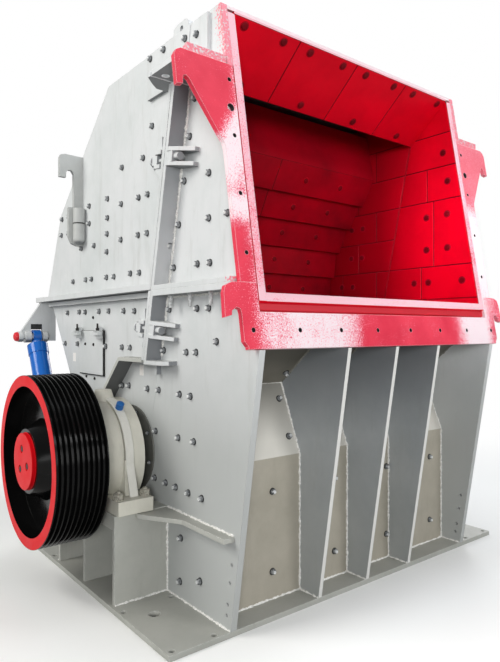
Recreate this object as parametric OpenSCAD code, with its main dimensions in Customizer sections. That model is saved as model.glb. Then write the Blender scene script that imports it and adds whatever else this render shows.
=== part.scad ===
// Impact crusher, stationary, about 3 m wide, 3.5 m high, rotor 1.6 m across and 2 m long.
// Frame: +X away from the drive pulley's side, -Y the feed side, +Z up.
// Origin: on the ground, under the middle of the rotor.
// A left piece is on the pulley's side (-X).

/* [Feed opening] */
// Clear width of the feed opening
feed_w = 2040; // [1800:10:2400]
// Height of the feed lip above the ground
lip_z = 1828; // [1780:2:1870]
// How far the feed lip stands in front of the rotor axis
lip_y = 1308; // [1290:2:1330]
// Lean of the feed opening towards the rear
feed_tilt = 9.9; // [8:0.1:11]
// Height of the opening's upper edge
feed_top_z = 3425; // [3300:5:3440]
// Thickness of the feed flange
feed_flange_t = 30; // [20:1:36]
// Height of the lower feed flange's bottom edge
feed_flange_bottom_z = 1558; // [1520:2:1600]

/* [Housing] */
// Height of the roof above the ground
roof_z = 3458; // [3440:2:3700]
// Height of the level joint between the lower frame and the upper housings
split_z = 1900; // [1890:2:1960]
// Thickness of the side walls
wall_t = 40; // [25:1:50]
// Thickness of the wear liners
liner_t = 49; // [30:1:60]
// Thickness of front, rear and roof plates
skin_t = 30; // [16:1:36]
// How far the joint flanges stand out from the side walls
flange_out = 110; // [90:2:130]
// Thickness of the joint flanges
flange_t = 30; // [20:1:36]
// Gap at the joints between the fixed and the opening housing
joint_gap = 5; // [5:0.5:8]
// Height at which the inclined flanges start, over the shaft
joint_foot_z = 1465; // [1420:5:1500]
// Height at which the inclined flanges end, under the shelf
joint_top_z = 3098; // [3040:2:3120]

/* [Base] */
// Length of the base plate along Y
base_l = 2234; // [2234:2:2600]
// Width of the base plate along X
base_w = 2980; // [2960:10:3400]
// Thickness of the base plate
base_t = 30; // [20:1:40]
// Radius of the foundation bolt holes
bolt_hole_r = 17; // [12:1:22]
// Radius of the jacking holes
jack_hole_r = 34; // [20:1:40]

/* [Rotor] */
// Radius over the blow bars
rotor_r = 800; // [700:5:820]
// Length of the blow bars
rotor_w = 2000; // [1700:10:2020]
// Height of the rotor axis
rotor_z = 857; // [840:1:880]
// Radius of the shaft in its bearings
shaft_r = 110; // [90:1:130]
// Number of rotor discs
disc_count = 7; // [7:1:9]
// Number of blow bars
bar_count = 4; // [3:1:4]

/* [Drive] */
// Radius of the pulley
pulley_r = 522; // [420:3:531]
// Width of the pulley
pulley_w = 309; // [200:3:330]
// Number of belt grooves
groove_count = 10; // [6:1:12]
// Distance from the mid-plane to the pulley's inner face
pulley_x = 1531; // [1520:1:1560]

/* [Bearings] */
// Radius of the bearing housings
bearing_r = 348; // [300:2:360]
// Height of the pedestals' top face
pedestal_z = 556; // [540:2:580]
// Half the length of a pedestal along Y
pedestal_half_l = 450; // [430:5:480]
// Distance from the mid-plane to a pedestal's outer face
pedestal_x = 1467; // [1460:1:1480]

/* [Opening gear] */
// How far the rear hinge stands behind the rotor axis
hinge_y = 1900; // [1880:5:1920]
// Height of the rear hinge
hinge_z = 1880; // [1870:1:1885]
// Radius of the rear hinge pins
hinge_pin_r = 40; // [30:1:50]
// Distance from the mid-plane to the cylinders' axes
cylinder_x = 1232; // [1225:1:1245]
// Radius of the cylinder barrels
barrel_r = 87; // [70:1:95]
// Radius of the piston rods
rod_r = 42; // [30:1:50]
// Place of the cylinders' upper pivot along Y
ear_y = 1641; // [1635:1:1645]
// Height of the cylinders' upper pivot
ear_z = 1600; // [1595:1:1605]
// Place of the cylinders' lower pivot along Y
foot_y = 1050; // [1040:1:1060]
// Height of the cylinders' lower pivot
foot_z = 420; // [400:2:430]
// Radius of the cylinders' pins
pin_r = 28; // [20:1:30]

/* [Hidden] */
$fn = 48;
STEEL = "silver";
RED = "crimson";
SEAT = 0.3;                       // running and seating gap
inner_x = feed_w/2;               // inner face of the liners
liner_x = inner_x + liner_t;      // inner face of the side walls
wall_x = liner_x + wall_t;        // outer face of the side walls
flange_x = wall_x + flange_out;   // outer edge of the joint flanges
base_y = base_l/2;
base_x = base_w/2;
rotor_gap_r = shaft_r + 150;      // shaft opening in the side walls

// Feed plane: front face of the feed flange, leaning back.
function feed_y(z) = -lip_y + tan(feed_tilt)*(z - lip_z);
feed_back = feed_flange_t/cos(feed_tilt);
function feed_back_y(z) = feed_y(z) + feed_back;

// Inclined joint: front face of the front flange.
joint_y0 = -481;
joint_z0 = 1975;
joint_lean = 12.06;
function joint_y(z) = joint_y0 - tan(joint_lean)*(z - joint_z0);
joint_t = flange_t/cos(joint_lean);
function seam_y(z) = joint_y(z) + joint_t;
function rear_y(z) = seam_y(z) + joint_gap;

// Outline of the front edge of side walls and ribs.
rib_top_z = feed_flange_bottom_z - 5;
rib_slope = 0.16;
front_foot_y = -1117;
function front_y(z) = front_foot_y - rib_slope*(z - base_t);

// Front wall and chute, outer side.
front_wall_y = -952;
front_knee_z = 883;
chute_foot_y = -776;
chute_foot_z = 1316;
chute_slope = 1.19;               // run over rise of the chute floor
// Vertical step across a chute layer of thickness t
function chute_up(t) = t*norm([chute_slope, 1])/chute_slope;
// Height of a chute layer's surface at y, and where it meets a plane set s behind the feed plane
function chute_z(y, up) = chute_foot_z + up - (y - chute_foot_y)/chute_slope;
function chute_meet_z(up, s) = (chute_foot_y + chute_slope*(chute_foot_z + up) + lip_y - s
    + tan(feed_tilt)*lip_z)/(chute_slope + tan(feed_tilt));
function chute_meet(up, s) = [feed_y(chute_meet_z(up, s)) + s, chute_meet_z(up, s)];
chute_skin_up = chute_up(skin_t);
chute_liner_t = 40;
chute_liner_up = chute_up(skin_t + chute_liner_t);
chute_end_y = chute_foot_y + 48;
sill_z = chute_meet_z(0, feed_back);
// Rear outlines (y, z), from bottom to top.
rear_foot_y = 1095;
rear_bend_z = 1210;
rear_lip_y = 1576;
rear_shell = [[1678, split_z + joint_gap], [1678, 1959], [1371, 2637], [406, roof_z]];

// ---- general helpers ------------------------------------------------------

// Plate from x0 to x0 + t with an outline in (y, z).
module yz_plate(x0, t, points) {
    translate([x0, 0, 0]) rotate([90, 0, 90]) linear_extrude(t) polygon(points);
}

// Plate from z0 to z0 + t with an outline in (x, y).
module xy_plate(z0, t, points) {
    translate([0, 0, z0]) linear_extrude(t) polygon(points);
}

// Block between two corners.
module block(low, high) {
    translate(low) cube(high - low);
}

// Cylinder along X from x0 to x1.
module x_bar(x0, x1, y, z, r) {
    translate([x0, y, z]) rotate([0, 90, 0]) cylinder(h = x1 - x0, r = r);
}

// Cylinder along Y from y0 to y1.
module y_bar(y0, y1, x, z, r) {
    translate([x, y0, z]) rotate([-90, 0, 0]) cylinder(h = y1 - y0, r = r);
}

// The same piece on the left, or mirrored to the right.
module side(right) {
    if (right) mirror([1, 0, 0]) children();
    else children();
}

// Both sides in one node.
module both_sides() {
    for (right = [false, true]) side(right) children();
}

// ---- base and lower frame -------------------------------------------------

bolt_places = [[1452, 1080], [1195, 1083], [1140, 545], [1458, 549]];
jack_place = [1328, 677];

module base_plate() {
    color(STEEL) difference() {
        block([-base_x, -base_y, 0], [base_x, base_y, base_t]);
        block([-liner_x, front_wall_y + skin_t, -1], [liner_x, rear_foot_y - skin_t, base_t + 1]);
        for (sx = [-1, 1], sy = [-1, 1]) {
            translate([sx*jack_place[0], sy*jack_place[1], -1])
                cylinder(h = base_t + 2, r = jack_hole_r);
            for (p = bolt_places)
                translate([sx*p[0], sy*p[1], -1]) cylinder(h = base_t + 2, r = bolt_hole_r);
        }
    }
}

level_flange_z = split_z - 35;
seam_gap = 2;
edge_holes = [[393, 10], [291, 10], [169, 10], [106, 10]];

// Front half of a lower side wall with its level and inclined flanges.
module lower_front_side() {
    color(STEEL) {
        difference() {
            yz_plate(-wall_x, wall_t, [[front_foot_y, base_t], [front_y(rib_top_z), rib_top_z],
                [feed_back_y(rib_top_z), rib_top_z], [feed_back_y(split_z), split_z],
                [seam_y(split_z), split_z], [seam_y(rotor_z), rotor_z],
                [seam_y(rotor_z), base_t]]);
            x_bar(-wall_x - 1, 1 - liner_x, 0, rotor_z, rotor_gap_r);
            for (h = edge_holes) x_bar(-wall_x - 1, 1 - liner_x, front_y(h[0]) + 50, h[0], h[1]);
        }
        block([-flange_x, feed_back_y(split_z) + 1, level_flange_z],
            [1 - wall_x, joint_y(split_z) + 5, split_z]);
        yz_plate(-flange_x, flange_out + 1, [[joint_y(joint_foot_z), joint_foot_z],
            [joint_y(split_z), split_z], [seam_y(split_z), split_z],
            [seam_y(joint_foot_z), joint_foot_z]]);
        // foot of the inclined flange, with a rounded front corner
        xy_plate(joint_foot_z - 25, 25, [[1 - wall_x, -568], [-1170, -568], [-1205, -545],
            [-flange_x, -505], [-flange_x, seam_y(joint_foot_z)], [1 - wall_x, seam_y(joint_foot_z)]]);
        yz_plate(-wall_x - 40, 41, [[-380, joint_foot_z - 25], [-350, joint_foot_z - 25],
            [-350, joint_foot_z - 90], [-380, joint_foot_z - 90]]);
    }
}

// Rear half of a lower side wall.
module lower_rear_side() {
    color(STEEL) {
        difference() {
            yz_plate(-wall_x, wall_t, [[seam_y(rotor_z) + seam_gap, base_t],
                [seam_y(rotor_z) + seam_gap, rotor_z], [seam_y(split_z) + seam_gap, split_z],
                [rear_lip_y, split_z], [1554, level_flange_z], [1334, 1553],
                [rear_foot_y, rear_bend_z], [rear_foot_y, base_t]]);
            x_bar(-wall_x - 1, 1 - liner_x, 0, rotor_z, rotor_gap_r);
        }
        block([-wall_x - 40, seam_y(level_flange_z) + joint_t, level_flange_z],
            [1 - wall_x, 1550, split_z]);
        yz_plate(-flange_x, flange_out + 1,
            [[seam_y(joint_foot_z) + seam_gap, joint_foot_z],
            [seam_y(split_z) + seam_gap, split_z],
            [seam_y(split_z) + joint_t, split_z],
            [seam_y(joint_foot_z) + joint_t, joint_foot_z]]);
    }
}

// Bent front wall and the plate under the chute.
module lower_front_wall() {
    color(STEEL) {
        yz_plate(-liner_x, 2*liner_x, [[front_wall_y, base_t], [front_wall_y, front_knee_z],
            [chute_foot_y, chute_foot_z], [chute_foot_y + 40, chute_foot_z - 10],
            [front_wall_y + skin_t, front_knee_z - 6], [front_wall_y + skin_t, base_t]]);
        yz_plate(-liner_x, 2*liner_x, [[chute_foot_y, chute_foot_z], chute_meet(0, feed_back),
            chute_meet(0, 15), chute_meet(chute_skin_up, 15),
            [chute_end_y, chute_z(chute_end_y, chute_skin_up)],
            [chute_end_y, chute_z(chute_end_y, 0)]]);
    }
}

// Wear plate on the chute floor; its front edge is the feed lip.
module chute_liner() {
    color(RED) yz_plate(-inner_x, feed_w, [chute_meet(chute_skin_up + SEAT, 0),
        chute_meet(chute_liner_up, 0), [chute_end_y, chute_z(chute_end_y, chute_liner_up)],
        [chute_end_y, chute_z(chute_end_y, chute_skin_up + SEAT)]]);
}

// Three upright ribs that carry the chute and the feed flange.
rib_t = 28;
rib_places = [-435, 0, 435];
module front_ribs() {
    color(STEEL) for (x = rib_places) yz_plate(x - rib_t/2, rib_t, [[front_wall_y, base_t],
        [front_foot_y, base_t], [front_y(rib_top_z), rib_top_z],
        [feed_back_y(rib_top_z) + SEAT, rib_top_z], chute_meet(-SEAT, feed_back + SEAT),
        [chute_foot_y - SEAT, chute_foot_z], [front_wall_y, front_knee_z]]);
}

module lower_rear_wall() {
    color(STEEL) {
        yz_plate(-liner_x, 2*liner_x, [[rear_foot_y, base_t], [rear_foot_y, rear_bend_z],
            [1334, 1553], [1554, level_flange_z], [rear_lip_y, split_z],
            [rear_lip_y - 40, split_z], [rear_lip_y - 62, level_flange_z], [1298, 1565],
            [rear_foot_y - skin_t, rear_bend_z + 10], [rear_foot_y - skin_t, base_t]]);
    }
}

// ---- feed flange ----------------------------------------------------------

// Plate on the feed plane with an outline in (x, height above the ground).
module feed_plate(points) {
    translate([0, -lip_y, lip_z]) rotate([-feed_tilt, 0, 0])
        translate([0, feed_flange_t, 0]) rotate([90, 0, 0]) linear_extrude(feed_flange_t)
            polygon([for (p = points) [p[0], (p[1] - lip_z)/cos(feed_tilt)]]);
}

// Bolt hole through the feed flange.
module feed_hole(x, z, r) {
    translate([0, -lip_y, lip_z]) rotate([-feed_tilt, 0, 0])
        translate([x, -1, (z - lip_z)/cos(feed_tilt)]) rotate([-90, 0, 0])
            cylinder(h = feed_flange_t + 2, r = r);
}

feed_edge_x = inner_x + 55;       // inner edge of the flange beside the liners' edges
feed_hole_r = 13;
low_hole_pitch = 322.5;
low_hole_z = 1655;
low_hook = [[1193, split_z], [1240, 1896], [1276, 1880], [1290, 1845], [1297, 1718],
    [1255, 1729], [1250, 1752], [1221, 1770], [1198, 1762], [1193, 1740], [1193, 1597],
    [1171, 1571], [1171, feed_flange_bottom_z]];
low_leg_in = [[feed_edge_x, sill_z], [feed_edge_x, split_z]];

module feed_flange_lower() {
    color(RED) difference() {
        feed_plate(concat(low_leg_in, low_hook,
            [for (i = [len(low_hook) - 1:-1:0]) [-low_hook[i][0], low_hook[i][1]]],
            [[-feed_edge_x, split_z], [-feed_edge_x, sill_z]]));
        for (i = [-3.5:1:3.5]) feed_hole(i*low_hole_pitch, low_hole_z, feed_hole_r);
    }
}

hook_top_z = joint_top_z - SEAT;
up_hook = [[feed_edge_x, split_z], [feed_edge_x, hook_top_z], [1405, hook_top_z], [1432, 3083],
    [1448, 3055], [1448, 2895], [1411, 2903], [1406, 2945], [1389, 2955],
    [1370, 2941], [1186, 2636], [1180, 2600], [1180, split_z]];
up_holes = [[1108, 3007, 12], [1118, 2846, 22], [1113, 2690, 12], [1116, 2373, 12],
    [1119, 2056, 12]];

module feed_flange_upper() {
    color(RED) for (sx = [-1, 1]) difference() {
        feed_plate([for (p = up_hook) [sx*p[0], p[1]]]);
        for (h = up_holes) feed_hole(sx*h[0], h[1], h[2]);
    }
}

// ---- liners of the lower frame --------------------------------------------

// Wear liners inside the lower side walls; front edges flush with the feed flange.
module lower_side_liners() {
    color(RED) both_sides() difference() {
        yz_plate(-liner_x, liner_t, [chute_meet(chute_skin_up + 2, 0),
            [feed_y(split_z), split_z], [1500, split_z], [1265, 1550], [1050, 1240],
            [1050, 420], [-900, 420], [-900, 860], [-765, 1190], [chute_end_y + 4, 1230],
            [chute_end_y + 4, chute_z(chute_end_y + 4, chute_skin_up + 2)]]);
        x_bar(-liner_x - 1, 1 - inner_x, 0, rotor_z, shaft_r + 80);
    }
}

// ---- bearings and side stiffeners -----------------------------------------

pedestal_top_t = 86;
pedestal_web_t = 28;
foot_top_z = pedestal_z + 84;
housing_in_x = 1211;
housing_out_x = 1465;
housing_foot_half_l = 475;

module bearing_pedestal() {
    color(STEEL) {
        block([-pedestal_x, -pedestal_half_l, pedestal_z - pedestal_top_t],
            [-wall_x, pedestal_half_l, pedestal_z]);
        for (y = [-pedestal_half_l, -pedestal_web_t/2, pedestal_half_l - pedestal_web_t])
            block([-pedestal_x, y, base_t],
                [-wall_x, y + pedestal_web_t, pedestal_z - pedestal_top_t + 1]);
    }
}

// Two-disc housing with its foot, end cover, and eye boss on top.
module bearing_housing() {
    groove_x = 1335;
    groove_w = 26;
    color("gainsboro") difference() {
        union() {
            x_bar(-housing_out_x, -groove_x - groove_w/2, 0, rotor_z, bearing_r - 8);
            x_bar(-housing_out_x, -housing_in_x, 0, rotor_z, bearing_r - 30);
            x_bar(-groove_x + groove_w/2, -housing_in_x, 0, rotor_z, bearing_r);
            block([-housing_out_x + 12, -housing_foot_half_l, pedestal_z],
                [-housing_in_x - 12, housing_foot_half_l, foot_top_z]);
            block([-groove_x - 20, -bearing_r - 14, foot_top_z - 1],
                [-groove_x + 20, bearing_r + 14, rotor_z]);
            translate([-groove_x, 0, rotor_z + bearing_r - 60])
                cylinder(h = 118, r1 = 90, r2 = 52);
            x_bar(-housing_out_x - 34, -housing_out_x + 1, 0, rotor_z, 190);
        }
        block([-housing_out_x - 40, -2*bearing_r, 0], [-wall_x, 2*bearing_r, pedestal_z]);
        x_bar(-housing_out_x - 50, 1 - housing_in_x, 0, rotor_z, shaft_r + SEAT);
    }
}

strip_z = 525;
strip_t = 27;
bent_t = 25;

// Corner gusset with its level strip, and the bent rib over the bearing.
module side_stiffeners() {
    color(STEEL) {
        xy_plate(strip_z, strip_t, [[-wall_x, -pedestal_half_l], [-1330, -pedestal_half_l],
            [-1330, -480], [-wall_x - 70, -734], [-wall_x - 70, -1150], [-wall_x, -1150]]);
        yz_plate(-flange_x, flange_out, [[seam_y(1475) + joint_t + 8, 1475],
            [19, 1475], [343, 1168], [600, 925], [600, 925 - 36], [343 - 18, 1168 - 18],
            [19 - 11, 1475 - bent_t], [seam_y(1475) + joint_t + 8, 1475 - bent_t]]);
    }
}

// Bolted inspection door with its toggle lugs.
door_y = [475, 911];
door_z = [1318, 1652];
module inspection_doors() {
    color(STEEL) both_sides() {
        block([-wall_x - 16, door_y[0], door_z[0]], [-wall_x, door_y[1], door_z[1]]);
        for (y = [door_y[0] + 25, door_y[1] - 25]) {
            block([-wall_x - 62, y - 14, door_z[1] - 60], [-wall_x - 15, y + 14, door_z[1] + 30]);
            block([-wall_x - 74, y - 62, door_z[1] - 34], [-wall_x - 40, y + 62, door_z[1] - 6]);
        }
    }
}

// ---- opening gear on the lower frame --------------------------------------

cheek_gap = 76;
cheek_t = 22;
eye_w = 66;

// Upright cheeks that hold the cylinders' lower pins.
module cylinder_brackets() {
    color(STEEL) both_sides() {
        for (x = [-cylinder_x - cheek_gap/2 - cheek_t, -cylinder_x + cheek_gap/2]) {
            yz_plate(x, cheek_t, [[foot_y - 110, base_t], [1094, base_t], [1094, foot_z],
                [foot_y + 35, foot_z + 52], [foot_y - 35, foot_z + 52], [foot_y - 62, foot_z]]);
        }
        x_bar(-cylinder_x - cheek_gap/2 - cheek_t - 12, -cylinder_x + cheek_gap/2 + cheek_t + 12,
            foot_y, foot_z, pin_r);
    }
}

hinge_places = [650, 750];
hinge_side_gap = 8;
hinge_cheek_t = 36;
hinge_r = 90;

// Rear brackets of the lower frame with their hinge pins.
module hinge_brackets() {
    color(STEEL) both_sides() {
        for (x = [-hinge_places[1] - hinge_side_gap - hinge_cheek_t,
                -hinge_places[0] + hinge_side_gap]) {
            yz_plate(x, hinge_cheek_t, [[1334, 1553], [1554, level_flange_z],
                [1573, split_z - 6], [hinge_y - 60, split_z - 6], [hinge_y, hinge_z],
                [hinge_y + 45, hinge_z - 78], [1440, 1553]]);
            x_bar(x, x + hinge_cheek_t, hinge_y, hinge_z, hinge_r);
        }
        x_bar(-hinge_places[1] - hinge_side_gap - hinge_cheek_t - 20,
            -hinge_places[0] + hinge_side_gap + hinge_cheek_t + 20, hinge_y, hinge_z, hinge_pin_r);
    }
}

// Knuckles of the opening housing on the same pins.
module hinge_knuckles() {
    z0 = split_z + joint_gap;
    color(STEEL) both_sides() difference() {
        union() {
            yz_plate(-hinge_places[1], hinge_places[1] - hinge_places[0], [[1678, z0],
                [1678, 1959], [1616, 2096], [hinge_y + 20, hinge_z + hinge_r - 4],
                [hinge_y, hinge_z], [hinge_y - 40, hinge_z - hinge_r + 10]]);
            x_bar(-hinge_places[1], -hinge_places[0], hinge_y, hinge_z, hinge_r - 2);
        }
        x_bar(-hinge_places[1] - 1, 1 - hinge_places[0], hinge_y, hinge_z, hinge_pin_r + SEAT);
    }
}

// ---- clamps on the inclined joint -----------------------------------------

clamp_gap = 58;
clamp_t = 24;
clamp_bolt_r = 15;
clamp_bolt_x = 1186;
clamp_slope = 7.5;                  // fall of the clamps towards the front
lower_clamp_z = 1662;
upper_clamp_z = 2680;

// Tilts a clamp piece about its edge at y, z, where it meets the flange.
module sloped(y, z) {
    translate([0, y, z]) rotate([clamp_slope, 0, 0]) translate([0, -y, -z]) children();
}

// Two shelves in front of the joint with the swing bolt's front half.
module clamp_front(z) {
    for (z0 = [z - clamp_gap/2 - clamp_t, z + clamp_gap/2]) {
        y = joint_y(z0 + clamp_t);
        sloped(y, z0 + clamp_t) xy_plate(z0, clamp_t, [[-wall_x, y], [-wall_x, y - 178],
            [-wall_x - 34, y - 178], [-flange_x - 8, y - 34], [-flange_x - 8, y]]);
    }
    y = joint_y(z + clamp_gap/2);
    sloped(y, z + clamp_gap/2) {
        block([-flange_x - 2, y - 58, z - clamp_gap/2 - 3],
            [-flange_x + 58, y - 2, z + clamp_gap/2 + 3]);
        y_bar(y - 96, y - 57, -clamp_bolt_x, z, clamp_bolt_r + 9);
    }
}

// Two chamfered shelves behind the joint with the bolt's rear half and nut.
module clamp_rear(z, y_of) {
    for (z0 = [z - clamp_gap/2 - clamp_t, z + clamp_gap/2]) {
        y = y_of(z0);
        sloped(y, z0) xy_plate(z0, clamp_t, [[-wall_x, y], [-flange_x - 8, y],
            [-flange_x - 8, y + 70], [-flange_x + 26, y + 116], [-wall_x, y + 132]]);
    }
    z1 = z + clamp_gap/2 + clamp_t;
    z2 = z - clamp_gap/2 - clamp_t;
    yz_plate(-flange_x, 20, [[y_of(z1), z1], [y_of(z1) + 62, z1], [y_of(z1) + 62, z1 + 24],
        [y_of(z1), z1 + 78]]);
    yz_plate(-flange_x, 20, [[y_of(z2), z2], [y_of(z2) + 62, z2 + 9], [y_of(z2) + 62, z2 - 10],
        [y_of(z2 - 60), z2 - 60]]);
    y = y_of(z - clamp_gap/2);
    sloped(y, z - clamp_gap/2) {
        y_bar(y, y + 170, -clamp_bolt_x, z, clamp_bolt_r);
        y_bar(y + 118, y + 132, -clamp_bolt_x, z, 38);
        y_bar(y + 132, y + 158, -clamp_bolt_x, z, 25);
        block([-flange_x + 4, y + 60, z - clamp_gap/2],
            [-wall_x - 40, y + 119, z + clamp_gap/2]);
    }
}

module lower_clamps() {
    color(STEEL) both_sides() {
        clamp_front(lower_clamp_z);
        clamp_rear(lower_clamp_z, function(z) seam_y(z) + joint_t + seam_gap);
    }
}

module upper_clamps_front() {
    color(STEEL) both_sides() clamp_front(upper_clamp_z);
}

module upper_clamps_rear() {
    color(STEEL) both_sides() clamp_rear(upper_clamp_z, function(z) rear_y(z) + joint_t);
}

// ---- fixed front box ------------------------------------------------------

shelf_t = 30;
shelf_x = 1360;
tie_t = 25;
tie_front_y = -930;
tie_rear_y = -235;
tie_z = 3150;
tie_top_z = roof_z - 18;
shelf_lip_z = joint_top_z + 48;     // top of the bar along the shelf's front edge
shelf_lip_y = feed_y(shelf_lip_z) + 3;

// Sighting hole through both inclined flanges, beside the wall.
module joint_hole() {
    translate([-1134, joint_y(2172), 2172]) rotate([90 + joint_lean, 0, 0])
        cylinder(h = 160, r = 20, center = true);
}

// Side wall of the feed box with its flanges, shelf and tie plate.
module front_box_side() {
    z0 = split_z;
    z1 = split_z + flange_t;
    zs = joint_top_z + shelf_t;
    color(STEEL) {
        yz_plate(-wall_x, wall_t, [[feed_back_y(z0) + SEAT, z0],
            [feed_back_y(joint_top_z) + SEAT, joint_top_z],
            [feed_y(joint_top_z), joint_top_z], [feed_y(roof_z), roof_z],
            [seam_y(roof_z), roof_z], [seam_y(z0), z0]]);
        block([-flange_x, feed_back_y(z1) + 1, z0], [1 - wall_x, joint_y(z0) + 5, z1]);
        difference() {
            yz_plate(-flange_x, flange_out + 1, [[joint_y(z0), z0],
                [joint_y(joint_top_z), joint_top_z], [seam_y(joint_top_z), joint_top_z],
                [seam_y(z0), z0]]);
            joint_hole();
        }
        difference() {
            union() {
                xy_plate(joint_top_z, shelf_t, [[1 - wall_x, shelf_lip_y + 1],
                    [-shelf_x, shelf_lip_y + 1], [-shelf_x, seam_y(zs) - 3],
                    [1 - wall_x, seam_y(zs) - 3]]);
                block([-shelf_x, shelf_lip_y, joint_top_z],
                    [1 - wall_x, shelf_lip_y + 40, shelf_lip_z]);
            }
            translate([-1292, seam_y(zs) - 45, joint_top_z - 1]) cylinder(h = shelf_t + 2, r = 24);
        }
        yz_plate(-wall_x - tie_t, tie_t + 1, [[tie_front_y, zs - 1], [tie_front_y, tie_top_z],
            [seam_y(tie_top_z) - 2, tie_top_z], [seam_y(zs) - 2, zs - 1]]);
    }
}

front_roof_t = skin_t - 10;

module front_box_roof() {
    color(STEEL) block([-liner_x, feed_y(roof_z) + 1, roof_z - front_roof_t],
        [liner_x, seam_y(roof_z), roof_z]);
}

ceiling_end = [-703, 3146];
ceiling_start = [feed_y(feed_top_z) + 2, feed_top_z];
ceiling_slope = (ceiling_start[1] - ceiling_end[1])/(ceiling_end[0] - ceiling_start[0]);
ceiling_up = liner_t*norm([1, ceiling_slope]);
ceiling_cap_z = roof_z - front_roof_t - 2;

// Sloping wear plates under the roof of the feed box.
module feed_ceiling_liner() {
    cap_y = ceiling_start[0] + (ceiling_start[1] + ceiling_up - ceiling_cap_z)/ceiling_slope;
    color(RED) yz_plate(-inner_x, feed_w, [ceiling_start, [ceiling_start[0], ceiling_cap_z],
        [cap_y, ceiling_cap_z], ceiling_end + [0, ceiling_up], ceiling_end]);
}

module feed_side_liners() {
    z0 = split_z;
    z1 = feed_top_z - 7;
    color(RED) both_sides() yz_plate(-liner_x, liner_t, [[feed_y(z0), z0], [feed_y(z1), z1],
        [seam_y(z1), z1], [seam_y(z0), z0]]);
}

// ---- opening rear frame ---------------------------------------------------

rear_floor_z = split_z + joint_gap;
rear_flange_t = 40;
lug_y = -616;
lug_z = roof_z + 19;
lug_hole_r = 17;

module rear_frame_side() {
    z0 = rear_floor_z;
    z1 = z0 + rear_flange_t;
    zs = joint_top_z + shelf_t;
    color(STEEL) {
        // wall with the eyed ear for lifting above its edge
        difference() {
            yz_plate(-wall_x, wall_t, concat([[rear_y(z0), z0], [rear_y(roof_z), roof_z],
                [-696, roof_z], [-690, roof_z + 45], [-665, roof_z + 60], [-571, roof_z + 60],
                [-524, roof_z + 45], [-522, roof_z]], [for (i = [3:-1:0]) rear_shell[i]]));
            x_bar(-wall_x - 1, 1 - liner_x, lug_y, lug_z, lug_hole_r);
        }
        block([-flange_x, rear_y(z0), z0], [1 - wall_x, rear_shell[0][0], z1]);
        difference() {
            yz_plate(-flange_x, flange_out + 1, [[rear_y(z0), z0],
                [rear_y(joint_top_z), joint_top_z], [rear_y(joint_top_z) + joint_t, joint_top_z],
                [rear_y(z0) + joint_t, z0]]);
            joint_hole();
        }
        xy_plate(joint_top_z, shelf_t, [[1 - wall_x, rear_y(joint_top_z)],
            [-shelf_x, rear_y(joint_top_z)], [-shelf_x, -662], [-1301, -601], [-1247, -554],
            [1 - wall_x, -549]]);
        yz_plate(-wall_x - tie_t, tie_t + 1, [[rear_y(tie_z) + 1, tie_z],
            [rear_y(tie_top_z) + 1, tie_top_z], [tie_rear_y, tie_top_z], [tie_rear_y, tie_z]]);
    }
}

// Roof, slanted rear plates and rear flange, bent as one shell.
module rear_frame_shell() {
    color(STEEL) yz_plate(-liner_x, 2*liner_x, concat(rear_shell,
        [[rear_y(roof_z), roof_z], [rear_y(roof_z), roof_z - skin_t], [395, roof_z - skin_t],
        [1346, 2619], [1648, 1952], [1648, rear_floor_z + rear_flange_t],
        [rear_lip_y - 40, rear_floor_z + rear_flange_t], [rear_lip_y - 40, rear_floor_z]]));
}

module rear_side_liners() {
    z0 = rear_floor_z + 2;
    z1 = roof_z - skin_t - 4;
    color(RED) both_sides() difference() {
        yz_plate(-liner_x, liner_t, [[rear_y(z0), z0], [rear_y(z1), z1], [392, z1],
            [1338, 2612], [1520, 2210], [1520, z0]]);
        for (s = apron_shaft_places) x_bar(-liner_x - 1, 1 - inner_x, s[0], s[1], apron_shaft_r + SEAT);
    }
}

hook_y = 879;
hook_t = 30;
hook_outline = [[wall_x, 3042], [1255, 3046], [1290, 3038], [1302, 3015], [1302, 2861],
    [1250, 2861], [1247, 2905], [1232, 2922], [1205, 2922], [1188, 2895], [1186, 2632],
    [1230, 2630], [1230, 2400], [1205, 2345], [1160, 2327], [wall_x, 2330]];

// Hook plates near the rear corners, with a rounded boss at the foot.
module rear_hook_plates() {
    color(STEEL) for (right = [false, true]) side(!right)
        translate([0, hook_y + hook_t, 0]) rotate([90, 0, 0])
            linear_extrude(hook_t) polygon(hook_outline);
    color(STEEL) both_sides() {
        translate([-wall_x - 46, hook_y - 30, 2380]) cylinder(h = 240, r = 46);
        translate([-wall_x - 46, hook_y - 30, 2380]) sphere(r = 46);
    }
}

ear_t = 32;
ear_notch_half_w = 50;
ear_boss_r = 52;
cap_x = 1375;

// Triangular ears with the cylinders' upper pins and their end caps.
module cylinder_ears() {
    color(STEEL) both_sides() {
        difference() {
            union() {
                translate([0, ear_y + ear_t/2, 0]) rotate([90, 0, 0]) linear_extrude(ear_t)
                    polygon([[-1060, rear_floor_z], [-flange_x + 20, rear_floor_z],
                        [-flange_x + 20, rear_floor_z - 12], [-1370, 1640], [-1370, 1562],
                        [-1060, 1562]]);
                x_bar(-cylinder_x - 102, -cylinder_x - ear_notch_half_w, ear_y, ear_z, ear_boss_r);
                x_bar(-cylinder_x + ear_notch_half_w, -cylinder_x + 92, ear_y, ear_z, ear_boss_r);
            }
            block([-cylinder_x - ear_notch_half_w, ear_y - 60, 1500],
                [-cylinder_x + ear_notch_half_w, ear_y + 60, 1712]);
        }
        x_bar(-cap_x + 20, -cylinder_x + 110, ear_y, ear_z, pin_r);
        x_bar(-cap_x - 14, -cap_x + 22, ear_y, ear_z, 46);
    }
}

// ---- aprons ---------------------------------------------------------------

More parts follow.
